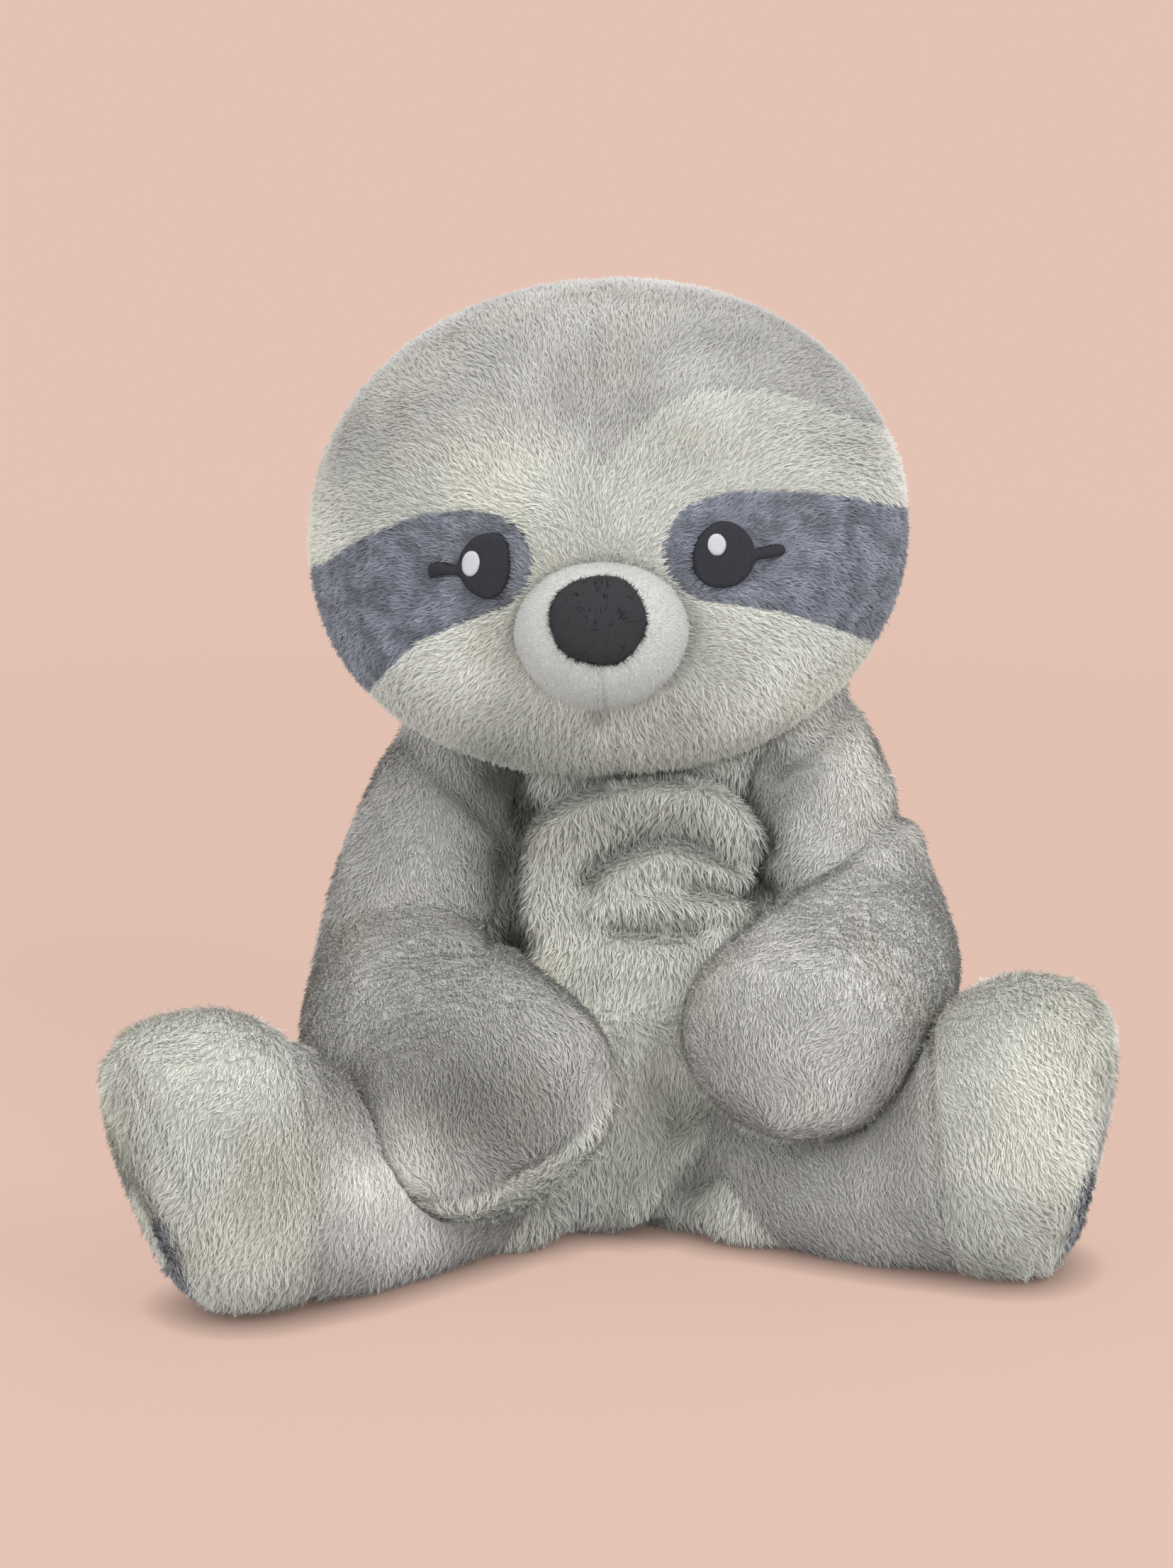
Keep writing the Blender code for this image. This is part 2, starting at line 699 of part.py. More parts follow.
def make_muzzle(front):
    across = HEAD_TURN @ Vector((1, 0, 0))
    upward = HEAD_TURN @ Vector((0, 0, 1))
    lean = math.sqrt(1 - (MUZZLE_DROP / HEAD_HALVES[2]) ** 2)
    muzzle_centre = HEAD_CENTRE + front * (HEAD_HALVES[1] * lean) - upward * MUZZLE_DROP
    muzzle_halves = (0.5 * MUZZLE_WIDTH, 0.5 * MUZZLE_DEPTH, 0.5 * MUZZLE_HEIGHT)
    head_solid = add_guide("head_solid", head_shape(SEAM_GAP))
    muzzle_shape = egg(muzzle_centre, muzzle_halves, HEAD_TURN, FACE_SEGMENTS, FACE_RINGS)
    muzzle = add_piece("muzzle", muzzle_shape, "muzzle_plush")
    cut(muzzle, head_solid)
    rise = NOSE_RISE / muzzle_halves[2]
    nose_centre = muzzle_centre + front * (muzzle_halves[1] * math.sqrt(1 - rise**2)) + upward * NOSE_RISE
    nose_halves = (0.5 * NOSE_WIDTH, 0.5 * NOSE_DEPTH, 0.5 * NOSE_HEIGHT)
    muzzle_solid = add_guide(
        "muzzle_solid", egg(muzzle_centre, muzzle_halves, HEAD_TURN, FACE_SEGMENTS, FACE_RINGS, SEAM_GAP)
    )
    nose = add_piece(
        "nose", egg(nose_centre, nose_halves, HEAD_TURN, FACE_SEGMENTS, FACE_RINGS), "nose_velvet"
    )
    cut(nose, muzzle_solid)
    nose_solid = add_guide(
        "nose_solid", egg(nose_centre, nose_halves, HEAD_TURN, FACE_SEGMENTS, FACE_RINGS, SEAM_GAP)
    )
    stitch_top = NOSE_RISE - MOUTH_TOP_SHARE * NOSE_HEIGHT
    stitch_bottom = -MOUTH_BOTTOM_SHARE * MUZZLE_HEIGHT
    half_thread = 0.5 * MOUTH_THREAD
    outline = (
        (-half_thread, stitch_bottom),
        (half_thread, stitch_bottom),
        (half_thread, stitch_top),
        (-half_thread, stitch_top),
    )
    stitch_shape = egg(
        muzzle_centre, muzzle_halves, HEAD_TURN, FACE_SEGMENTS, FACE_RINGS, SEAM_GAP + MOUTH_THREAD
    )
    stitch = add_piece("mouth_stitch", stitch_shape, "nose_velvet")
    edge = prism(outline, muzzle_centre, front * MUZZLE_DEPTH, across, upward)
    keep(stitch, add_guide("mouth_stitch_edge", edge))
    cut(stitch, muzzle_solid, nose_solid)


def torso_room(centre, axis, degrees):
    """The room that the torso takes, seen from a limb that turns about a centre."""
    return sweep(TORSO_FORM.shape(TORSO_SEGMENTS, SEAM_GAP)[0], centre, axis, -degrees)


def room_round_ball(name, shape, centre, radius, pole):
    """A guide of a shape, but for the ball in which a limb turns."""
    solid = add_guide(name, shape)
    cut(solid, add_guide(name + "_ball", ball(centre, radius, pole)))
    return solid


def palm_prism(pose, at, shrink):
    """The oval of the palm, extruded from the middle of the paw out through its underside."""
    way = pose.forearm.normalized()
    down = (pose.palm - way * pose.palm.dot(way)).normalized()
    outline = oval_outline(PALM_LENGTH - 2 * shrink, PALM_WIDTH - 2 * shrink, PALM_SEGMENTS)
    start = at.paw + down * (PALM_DEPTH_SHARE * PAW_HEIGHT)
    return prism(outline, start, down * PAW_HEIGHT, way, way.cross(down))


def make_arm(side, pose, at):
    """Two covers with their filling, the light palm, and the bead pouch in the paw."""
    upper_form = upper_arm_form(pose, at)
    lower_form = forearm_form(pose, at)
    upper_limit = room_round_ball(
        side + "_upper_arm_limit",
        torso_room(at.shoulder, RAISING_AXIS, ARM_RAISE),
        at.shoulder,
        SHOULDER_RADIUS,
        RAISING_AXIS,
    )
    elbow_cup = ball(at.elbow, ELBOW_RADIUS + BALL_CLEARANCE, RAISING_AXIS)
    combine(upper_limit, "UNION", add_guide(side + "_elbow_cup", elbow_cup))
    inwards = Vector((-pose.side, 0, 0))
    opening = prism(
        oval_outline(SHOULDER_RADIUS, SHOULDER_RADIUS, OPENING_SEGMENTS),
        at.shoulder,
        inwards * (SHOULDER_RADIUS + OVERRUN),
        Vector((0, 1, 0)),
        Vector((0, 0, 1)),
    )
    upper_hollow = add_guide(side + "_upper_arm_hollow", upper_form.shape(LIMB_SEGMENTS, -COVER_THICKNESS))
    upper = add_piece(side + "_upper_arm_cover", upper_form.shape(LIMB_SEGMENTS), "grey_plush")
    cut(upper, upper_hollow, add_guide(side + "_shoulder_opening", opening), upper_limit)
    inside = upper_form.shape(LIMB_SEGMENTS, -COVER_THICKNESS - SEAM_GAP)
    upper_filling = add_piece(side + "_upper_arm_filling", inside, "filling")
    cut(upper_filling, upper_limit)

    above_elbow = upper_form.above(ELBOW_RIM_RISE, LIMB_SEGMENTS, SEAM_GAP)
    lower_limit = room_round_ball(
        side + "_forearm_limit",
        sweep(above_elbow, at.elbow, RAISING_AXIS, -ELBOW_BEND),
        at.elbow,
        ELBOW_RADIUS,
        RAISING_AXIS,
    )
    bend_room = torso_room(at.elbow, RAISING_AXIS, ELBOW_BEND)
    combine(lower_limit, "UNION", add_guide(side + "_forearm_torso", bend_room))
    upwards = -pose.upper_arm.normalized()
    level = upwards.orthogonal().normalized()
    elbow_opening = prism(
        oval_outline(ELBOW_RADIUS, ELBOW_RADIUS, OPENING_SEGMENTS),
        at.elbow,
        upwards * (ELBOW_RADIUS + OVERRUN),
        level,
        upwards.cross(level),
    )
    lower_hollow = add_guide(side + "_forearm_hollow", lower_form.shape(LIMB_SEGMENTS, -COVER_THICKNESS))
    way = pose.forearm.normalized()
    elbow_guide = add_guide(side + "_elbow_opening", elbow_opening)
    palm_edge = add_guide(side + "_palm_edge", palm_prism(pose, at, 0.0))
    lower = add_piece(side + "_forearm_cover", lower_form.shape(LIMB_SEGMENTS), "grey_plush")
    cut(lower, lower_hollow, elbow_guide, lower_limit, palm_edge)
    palm = add_piece(side + "_palm", lower_form.shape(LIMB_SEGMENTS), "light_plush")
    keep(palm, add_guide(side + "_palm_inner_edge", palm_prism(pose, at, SEAM_GAP)))
    cut(palm, lower_hollow)
    inside = lower_form.shape(LIMB_SEGMENTS, -COVER_THICKNESS - SEAM_GAP)
    pouch_start = at.paw + way * (PAW_DOME - PAW_POUCH_LENGTH)
    pouch_side = add_guide(side + "_paw_pouch_side", slab(pouch_start, way, BLOCK_REACH))
    filling_side = add_guide(
        side + "_forearm_filling_side", slab(pouch_start + way * SEAM_GAP, -way, BLOCK_REACH)
    )
    filling = add_piece(side + "_forearm_filling", inside, "filling")
    cut(filling, pouch_side, lower_limit)
    pouch = add_piece(side + "_paw_bead_pouch", inside, "bead_pouch")
    cut(pouch, filling_side)
    return lower_form


def make_leg(side, pose, at, resting_arm):
    """The leg's cover and filling, the light foot panel, the sole with its pads, and the foot's pouch."""
    form = leg_form(pose, at)
    upwards = Vector((0, 0, 1))
    splay_axis = Vector((0, 0, pose.side))
    splay_room = torso_room(at.hip, splay_axis, LEG_SPLAY)
    limit = room_round_ball(side + "_leg_limit", splay_room, at.hip, HIP_RADIUS, upwards)
    arm_points = []
    for step in range(SWEEP_STEPS):
        lift = turn_about(at.shoulder, RAISING_AXIS, ARM_LIFT_OFF * step / (SWEEP_STEPS - 1))
        arm_points += resting_arm.shape(LIMB_SEGMENTS, SEAM_GAP, lift)[0]
    arm_room = sweep(arm_points, at.hip, splay_axis, -LEG_SPLAY)
    combine(limit, "UNION", add_guide(side + "_leg_arm", arm_room))
    floor = add_guide(side + "_floor", slab(Vector((0, 0, 0)), Vector((0, 0, -1)), BLOCK_REACH))
    sole_way = at.sole_way
    sole_middle = form.stations[-1][0]
    inner_sole = sole_middle - sole_way * COVER_THICKNESS
    panel_start = sole_middle - sole_way * FOOT_PANEL_LENGTH
    pouch_start = sole_middle - sole_way * (FOOT_POUCH_LENGTH + COVER_THICKNESS)

    def beyond(name, point):
        return add_guide(f"{side}_{name}", slab(point, sole_way, BLOCK_REACH))

    def short_of(name, point):
        return add_guide(f"{side}_{name}", slab(point, -sole_way, BLOCK_REACH))

    hollow = add_guide(side + "_leg_hollow", form.shape(LIMB_SEGMENTS, -COVER_THICKNESS))
    inwards = -pose.thigh.normalized()
    level = Vector((0, 0, 1)).cross(inwards)
    opening = prism(
        oval_outline(HIP_RADIUS, HIP_RADIUS, OPENING_SEGMENTS),
        at.hip,
        inwards * (HIP_RADIUS + OVERRUN),
        level,
        Vector((0, 0, 1)),
    )
    cover = add_piece(side + "_leg_cover", form.shape(LIMB_SEGMENTS), "grey_plush")
    opening_guide = add_guide(side + "_hip_opening", opening)
    cut(cover, hollow, opening_guide, beyond("ankle_seam", panel_start), limit, floor)
    panel = add_piece(side + "_foot_panel", form.shape(LIMB_SEGMENTS), "light_plush")
    cut(
        panel,
        hollow,
        short_of("foot_seam", panel_start + sole_way * SEAM_GAP),
        beyond("sole_seam", inner_sole - sole_way * SEAM_GAP),
        floor,
    )
    sole = add_piece(side + "_sole", form.shape(LIMB_SEGMENTS), "light_plush")
    cut(sole, short_of("sole_back", inner_sole), floor)
    inside = form.shape(LIMB_SEGMENTS, -COVER_THICKNESS - SEAM_GAP)
    filling = add_piece(side + "_leg_filling", inside, "filling")
    cut(filling, beyond("leg_pouch_side", pouch_start), limit)
    pouch = add_piece(side + "_foot_bead_pouch", inside, "bead_pouch")
    cut(pouch, short_of("leg_filling_side", pouch_start + sole_way * SEAM_GAP))

    across = sole_way.cross(Vector((0, 0, pose.side))).normalized()
    upward = (Vector((0, 0, 1)) - sole_way * sole_way.z).normalized()
    half_width, half_height = form.stations[-1][2:]
    for number, degrees in enumerate(SOLE_PAD_TURNS, start=1):
        angle = math.radians(degrees)
        place = (
            SOLE_PAD_SHARE * half_width * math.cos(angle),
            SOLE_PAD_SHARE * half_height * math.sin(angle),
        )
        outline = [
            (
                place[0] + x * math.sin(angle) + z * math.cos(angle),
                place[1] - x * math.cos(angle) + z * math.sin(angle),
            )
            for x, z in oval_outline(SOLE_PAD_LENGTH, SOLE_PAD_WIDTH, OPENING_SEGMENTS)
        ]
        pad_shape = prism(
            outline,
            sole_middle + sole_way * SEAM_GAP,
            sole_way * SOLE_PAD_THICKNESS,
            across,
            upward,
        )
        add_piece(f"{side}_sole_pad_{number}", pad_shape, "patch_plush")


def main():
    clear_scene()
    places = {side: limb_places(pose) for side, pose in POSES.items()}
    make_torso(places)
    make_neck()
    make_head()
    for side, pose in POSES.items():
        resting_arm = make_arm(side, pose, places[side])
        make_leg(side, pose, places[side], resting_arm)


if __name__ == "__main__":
    main()
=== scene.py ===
"""Dresses the plush sloth's frame in sewn, stuffed covers with pile, and sets the studio round it.

Lengths are in metres, in the frame's own axes: the toy looks along -Y and its left is +X.
"""

import math

import bmesh
import bpy
import numpy as np
from mathutils import Matrix, Vector, noise
from mathutils.bvhtree import BVHTree
from mathutils.geometry import delaunay_2d_cdt


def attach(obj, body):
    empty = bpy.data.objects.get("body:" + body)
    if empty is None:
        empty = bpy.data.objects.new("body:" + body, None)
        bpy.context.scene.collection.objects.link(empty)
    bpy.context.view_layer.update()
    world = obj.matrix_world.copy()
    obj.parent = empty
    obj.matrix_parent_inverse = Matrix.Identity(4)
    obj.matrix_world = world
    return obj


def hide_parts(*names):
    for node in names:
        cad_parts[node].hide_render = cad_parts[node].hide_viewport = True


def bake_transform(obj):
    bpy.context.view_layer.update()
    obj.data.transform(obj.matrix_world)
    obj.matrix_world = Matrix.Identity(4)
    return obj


bl_info = {
    "name": "Plush sloth",
    "version": (1, 0, 0),
    "blender": (4, 5, 0),
    "location": "View3D > Sidebar > Sloth",
    "description": "Stuffed covers, pile and stage for a seated plush sloth",
    "category": "Object",
}

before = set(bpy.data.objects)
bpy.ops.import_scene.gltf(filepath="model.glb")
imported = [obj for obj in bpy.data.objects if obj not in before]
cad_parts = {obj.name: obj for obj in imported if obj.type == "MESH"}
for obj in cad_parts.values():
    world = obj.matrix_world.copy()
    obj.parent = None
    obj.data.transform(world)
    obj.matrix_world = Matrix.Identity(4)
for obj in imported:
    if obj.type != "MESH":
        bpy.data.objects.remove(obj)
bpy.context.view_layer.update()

# The photograph's frame: its size in pixels, and where the camera stands and looks
PICTURE_SIZE = (1655, 2212)
CAMERA_TARGET = Vector((-0.0145, -0.005, 0.1465))
CAMERA_DISTANCE = 1.8
CAMERA_ELEVATION = math.radians(13)
CAMERA_LENS = 112.6
CAMERA_SENSOR = 36.0

# The head's place, as in the frame
HEAD_CENTRE = Vector((-0.0063, -0.013, 0.2428))
HEAD_HALVES = Vector((0.1096, 0.084, 0.0920))
HEAD_ROLL = math.radians(3.5)
HEAD_YAW = math.radians(-2.4)
HEAD_TURN = Matrix.Rotation(HEAD_YAW, 3, "Z") @ Matrix.Rotation(-HEAD_ROLL, 3, "Y")
HEAD_SEAM_SETBACK = 0.006
HEAD_SQUARENESS = 2.06
NECK = Vector((-0.003, -0.006, 0.152))
NECK_RADIUS = 0.026

# Muzzle and nose, from the head's middle
MUZZLE_HALVES = Vector((0.0298, 0.025, 0.0254))
MUZZLE_DROP = 0.0228
MUZZLE_ASIDE = -0.0010
MUZZLE_TAPER = 0.12
MUZZLE_SEAM_ASIDE = 0.0005

# Height, half width and half depth up the torso
TORSO_RINGS = (
    (0.000, 0.0707, 0.0503),
    (0.0069, 0.0915, 0.0651),
    (0.0275, 0.1040, 0.0740),
    (0.0550, 0.1009, 0.0729),
    (0.0894, 0.0863, 0.0651),
    (0.1238, 0.0707, 0.0540),
    (0.1514, 0.0593, 0.0451),
    (0.1720, 0.0478, 0.0355),
)
TORSO_DOME = 0.012
SIDE_SEAM_Y = -0.013
# Rolls of filling that swell the torso, at the shoulders and the lap: centre and halves
TORSO_ROLLS = (
    ((0.046, -0.004, 0.160), (0.025, 0.025, 0.025)),
    ((-0.046, -0.004, 0.152), (0.024, 0.024, 0.024)),
    ((-0.002, -0.054, 0.019), (0.066, 0.046, 0.024)),
    ((0.004, -0.047, 0.046), (0.038, 0.042, 0.034)),
    ((-0.044, -0.082, 0.016), (0.026, 0.034, 0.019)),
    ((0.050, -0.078, 0.016), (0.032, 0.034, 0.019)),
)
ROLL_SQUARENESS = 2.9

# Each arm from the shoulder to the paw: centre, half width and half height
ARMS = {
    "left": (
        ((0.059, -0.004, 0.175), 0.026, 0.026),
        ((0.068, -0.012, 0.147), 0.030, 0.030),
        ((0.078, -0.028, 0.117), 0.0330, 0.034),
        ((0.0855, -0.046, 0.0965), 0.035, 0.0365),
        ((0.0760, -0.086, 0.0900), 0.0410, 0.0385),
        ((0.0590, -0.1209, 0.0865), 0.0420, 0.0390),
        ((0.0535, -0.1327, 0.0850), 0.0400, 0.0370),
    ),
    "right": (
        ((-0.056, -0.004, 0.163), 0.027, 0.027),
        ((-0.066, -0.012, 0.140), 0.030, 0.030),
        ((-0.075, -0.026, 0.113), 0.0335, 0.0335),
        ((-0.0790, -0.044, 0.0840), 0.0375, 0.0390),
        ((-0.0700, -0.085, 0.0705), 0.0485, 0.0440),
        ((-0.0530, -0.1235, 0.0645), 0.0515, 0.0440),
        ((-0.0460, -0.1375, 0.0620), 0.0490, 0.0415),
    ),
}
ARM_START_DOME = 0.024
PAW_DOME = 0.021
SHOULDERS = {"left": Vector((0.066, -0.014, 0.1379)), "right": Vector((-0.066, -0.014, 0.1340))}
ELBOWS = {"left": Vector((0.0893, -0.0416, 0.0945)), "right": Vector((-0.0800, -0.0401, 0.0859))}
PAWS = {"left": Vector((0.0551, -0.1209, 0.0845)), "right": Vector((-0.0434, -0.1153, 0.0621))}
PALMS = {"left": Vector((-0.45, 0.25, -0.86)), "right": Vector((0.45, 0.25, -0.86))}
# Half a palm's length, and how far the cloth faces its way where the palm ends
PALM_HALF = 0.036
PALM_EDGE = {"left": 0.80, "right": 0.12}
PALM_TONE = 0.06

# Each leg from the hip to the foot: centre, direction, half width and half height
LEGS = {
    "left": (
        ((0.0480, -0.0560, 0.0330), (0.630, -0.777, 0.000), 0.0370, 0.0310),
        ((0.0702, -0.0816, 0.0297), (0.700, -0.714, 0.000), 0.0400, 0.0342),
        ((0.0943, -0.1025, 0.0350), (0.800, -0.600, 0.000), 0.0345, 0.0410),
        ((0.1152, -0.1150, 0.0490), (0.903, -0.392, -0.120), 0.0374, 0.0510),
        ((0.1319, -0.1207, 0.0510), (0.965, -0.170, -0.200), 0.0390, 0.0535),
        ((0.1470, -0.1230, 0.0480), (0.965, -0.170, -0.200), 0.0390, 0.0525),
    ),
    "right": (
        ((-0.0480, -0.0560, 0.0330), (-0.440, -0.898, 0.000), 0.0380, 0.0310),
        ((-0.0698, -0.0955, 0.0302), (-0.528, -0.849, 0.000), 0.0415, 0.0337),
        ((-0.0967, -0.1319, 0.0330), (-0.645, -0.764, 0.000), 0.0345, 0.0385),
        ((-0.1209, -0.1549, 0.0505), (-0.815, -0.547, -0.188), 0.0374, 0.0525),
        ((-0.1371, -0.1628, 0.0510), (-0.895, -0.270, -0.335), 0.0390, 0.0540),
        ((-0.1505, -0.1668, 0.0480), (-0.895, -0.270, -0.335), 0.0390, 0.0518),
    ),
}
LEG_SWELL = 0.0025
# Each sole's middle and the way it faces
SOLES = {
    "left": ((0.1567, -0.1246, 0.0456), (0.965, -0.170, -0.200)),
    "right": ((-0.1598, -0.1697, 0.0428), (-0.895, -0.270, -0.355)),
}
SOLE_EDGE = 0.004
SOLE_DOME = 0.021
SOLE_FULLNESS = 2.8
# The light cloth of the foot reaches this far back from the sole at half height, and further back above
FOOT_PANEL_LENGTH = 0.044
FOOT_PANEL_SLANT = 0.32
LEG_HEIGHT = 0.075
SIDES = {"left": 1, "right": -1}

# Outlines on the face, in the photograph's pixels, which the camera casts onto the head
PATCH_OUTLINES = {
    "right": (
        (380, 815), (459, 793), (516, 756), (602, 726), (665, 720), (717, 730), (743, 756), (754, 788),
        (746, 828), (717, 857), (648, 880), (591, 905), (559, 931), (520, 975), (460, 1000), (380, 960),
    ),
    "left": (
        (933, 773), (950, 730), (976, 710), (1022, 696), (1094, 694), (1194, 700), (1320, 722), (1320, 900),
        (1229, 904), (1174, 885), (1108, 864), (1051, 855), (988, 848), (959, 834), (936, 802),
    ),
}
CROWN_OUTLINE = (
    (300, 330), (1400, 330), (1400, 640), (1290, 628), (1234, 602), (1150, 572), (1090, 553), (1000, 551),
    (940, 572), (892, 612), (850, 655), (800, 628), (700, 612), (600, 622), (500, 655), (400, 720), (300, 760),
)


def length_property(name, description, default):
    return bpy.props.FloatProperty(name=name, description=description, default=default, unit="LENGTH", precision=5)


def colour_property(name, description, default):
    return bpy.props.FloatVectorProperty(
        name=name, description=description, default=default, size=3, min=0.0, max=1.0, subtype="COLOR"
    )


class SlothSizes(bpy.types.PropertyGroup):
    light_pile: length_property("Light pile", "Length of the light cloth's pile", 0.0040)
    grey_pile: length_property("Grey pile", "Length of the grey cloth's pile", 0.0028)
    patch_pile: length_property("Patch pile", "Length of the pile round the eyes", 0.0036)
    muzzle_pile: length_property("Muzzle pile", "Length of the muzzle's pile", 0.0011)
    nose_pile: length_property("Nose pile", "Length of the nose's pile", 0.0024)
    strand_width: length_property("Strand width", "Width of a strand at its root", 0.00042)
    clump: length_property("Clump", "Size of the clumps that the pile falls into", 0.0026)
    strands: bpy.props.FloatProperty(
        name="Strands", description="Strands of pile on a square metre", default=1450000.0, min=0.0
    )
    seam_depth: length_property("Seam depth", "How deep a seam draws the cloth in", 0.0022)


class SlothColours(bpy.types.PropertyGroup):
    light: colour_property("Light plush", "Plush of the face, the belly and the feet", (0.745, 0.750, 0.700))
    grey: colour_property("Grey plush", "Plush of the crown, the back, the arms and the legs", (0.600, 0.594, 0.578))
    patch: colour_property("Patch plush", "Plush round the eyes and on the soles", (0.240, 0.258, 0.318))
    muzzle: colour_property("Muzzle", "Short pile of the muzzle", (0.640, 0.640, 0.625))
    nose: colour_property("Nose", "Velvet of the nose", (0.039, 0.039, 0.044))
    eye: colour_property("Eye", "Embroidery of the eyes", (0.034, 0.036, 0.044))
    glint: colour_property("Glint", "White thread of the glints", (0.560, 0.560, 0.590))
    wadding: colour_property("Wadding", "Filling in the neck", (0.850, 0.850, 0.830))
    backdrop: colour_property("Backdrop", "Floor and backdrop", (0.776, 0.545, 0.456))


# Meshes


def mesh_object(name, points, faces, finish=None):
    mesh = bpy.data.meshes.new(name)
    mesh.from_pydata([tuple(p) for p in points], [], faces)
    mesh.update()
    thing = bpy.data.objects.new(name, mesh)
    bpy.context.scene.collection.objects.link(thing)
    if finish is not None:
        mesh.materials.append(finish)
    return thing


def coordinates(thing):
    points = np.empty(len(thing.data.vertices) * 3)
    thing.data.vertices.foreach_get("co", points)
    return points.reshape(-1, 3)


def normals(thing):
    directions = np.empty(len(thing.data.vertices) * 3)
    thing.data.vertices.foreach_get("normal", directions)
    return directions.reshape(-1, 3)


def move_points(thing, points):
    thing.data.vertices.foreach_set("co", np.asarray(points, dtype=np.float32).ravel())
    thing.data.update()


def applied(thing):
    """The object with its modifiers made part of its mesh."""
    depsgraph = bpy.context.evaluated_depsgraph_get()
    mesh = bpy.data.meshes.new_from_object(
        thing.evaluated_get(depsgraph), preserve_all_data_layers=True, depsgraph=depsgraph
    )
    thing.modifiers.clear()
    old = thing.data
    thing.data = mesh
    mesh.name = thing.name
    bpy.data.meshes.remove(old)
    return thing


def remove(*things):
    for thing in things:
        bpy.data.objects.remove(thing)


def joined(name, things):
    """One object of several, whose closed shapes may cross."""
    points, faces = [], []
    for thing in things:
        start = len(points)
        points += [vert.co.copy() for vert in thing.data.vertices]
        faces += [tuple(start + index for index in face.vertices) for face in thing.data.polygons]
    remove(*things)
    return mesh_object(name, points, faces)


def ring_surface(rings, start_pole, end_pole):
    """Faces of rings of points closed by a pole at each end."""
    count = len(rings[0])
    points = [point for ring in rings for point in ring]
    faces = []
    for row in range(len(rings) - 1):
        for step in range(count):
            after = (step + 1) % count
            low, high = row * count, (row + 1) * count
            faces.append((low + step, low + after, high + after, high + step))
    last = (len(rings) - 1) * count
    points += [start_pole, end_pole]
    for step in range(count):
        after = (step + 1) % count
        faces.append((len(points) - 2, after, step))
        faces.append((len(points) - 1, last + step, last + after))
    return points, faces


def between(stations, steps):
    """Rows of numbers on a smooth curve through the stations."""
    rows = np.array(stations, dtype=float)
    found = []
    for index in range(len(rows) - 1):
        before, start = rows[max(index - 1, 0)], rows[index]
        end, after = rows[index + 1], rows[min(index + 2, len(rows) - 1)]
        for step in range(steps):
            t = step / steps
            found.append(
                0.5
                * (
                    2 * start
                    + (end - before) * t
                    + (2 * before - 5 * start + 4 * end - after) * t**2
                    + (3 * start - before - 3 * end + after) * t**3
                )
            )
    found.append(rows[-1])
    return np.array(found)


LOFT_SEGMENTS = 44
LOFT_STEPS = 5
DOME_STEPS = 6


def loft(name, rows, up_hint, start_dome, end_dome, fullness=2.0):
    """A closed form on rows of centre, direction, half side and half up; fullness squares off the end's dome."""

    def axes(row):
        along = Vector(row[3:6]).normalized()
        side = up_hint.cross(along).normalized()
        return Vector(row[0:3]), along, side, along.cross(side)

    def ring(row, ahead, spread):
        centre, along, side, up = axes(row)
        points = []
        for step in range(LOFT_SEGMENTS):
            angle = 2 * math.pi * step / LOFT_SEGMENTS
            points.append(
                centre
                + along * ahead
                + side * (row[6] * spread * math.cos(angle))
                + up * (row[7] * spread * math.sin(angle))
            )
        return points

    bends = [0.5 * math.pi * step / DOME_STEPS for step in range(1, DOME_STEPS)]
    rings = [ring(rows[0], -start_dome * math.sin(bend), math.cos(bend)) for bend in reversed(bends)]
    rings += [ring(row, 0.0, 1.0) for row in rows]
    power = 2 / fullness
    rings += [ring(rows[-1], end_dome * math.sin(bend) ** power, math.cos(bend) ** power) for bend in bends]
    start, end = axes(rows[0]), axes(rows[-1])
    return mesh_object(
        name, *ring_surface(rings, start[0] - start[1] * start_dome, end[0] + end[1] * end_dome)
    )


def rounded(name, centre, halves, turn, squareness=2.0, cuts=5):
    """A ball of even triangles, stretched to its halves and squared off a little."""
    shape = bmesh.new()
    bmesh.ops.create_icosphere(shape, subdivisions=cuts, radius=1.0)
    for vert in shape.verts:
        size = sum(abs(c) ** squareness for c in vert.co) ** (1 / squareness)
        place = vert.co / size
        vert.co = centre + turn @ Vector(place[i] * halves[i] for i in range(3))
    mesh = bpy.data.meshes.new(name)
    shape.to_mesh(mesh)
    shape.free()
    thing = bpy.data.objects.new(name, mesh)
    bpy.context.scene.collection.objects.link(thing)
    return thing


REMESH_SIZE = 0.0034
RELAX_ROUNDS = 14


def fused(thing, rounds=RELAX_ROUNDS, size=REMESH_SIZE):
    """The crossing closed shapes of an object made one even, smooth skin."""
    remesh = thing.modifiers.new("one skin", "REMESH")
    remesh.mode = "VOXEL"
    remesh.voxel_size = size
    relax = thing.modifiers.new("relax", "SMOOTH")
    relax.factor = 0.5
    relax.iterations = rounds
    return applied(thing)


def surface_tree(thing):
    mesh = thing.data
    mesh.calc_loop_triangles()
    return BVHTree.FromPolygons(
        [vert.co for vert in mesh.vertices], [tuple(tri.vertices) for tri in mesh.loop_triangles]
    )


# The photograph's camera


def camera_axes():
    back = Vector((0, -math.cos(CAMERA_ELEVATION), math.sin(CAMERA_ELEVATION)))
    right = Vector((1, 0, 0))
    return CAMERA_TARGET + back * CAMERA_DISTANCE, right, back.cross(right), back


def pixel_scale():
    """Pixels for each unit of slope away from the camera's axis."""
    return PICTURE_SIZE[1] * CAMERA_LENS / CAMERA_SENSOR


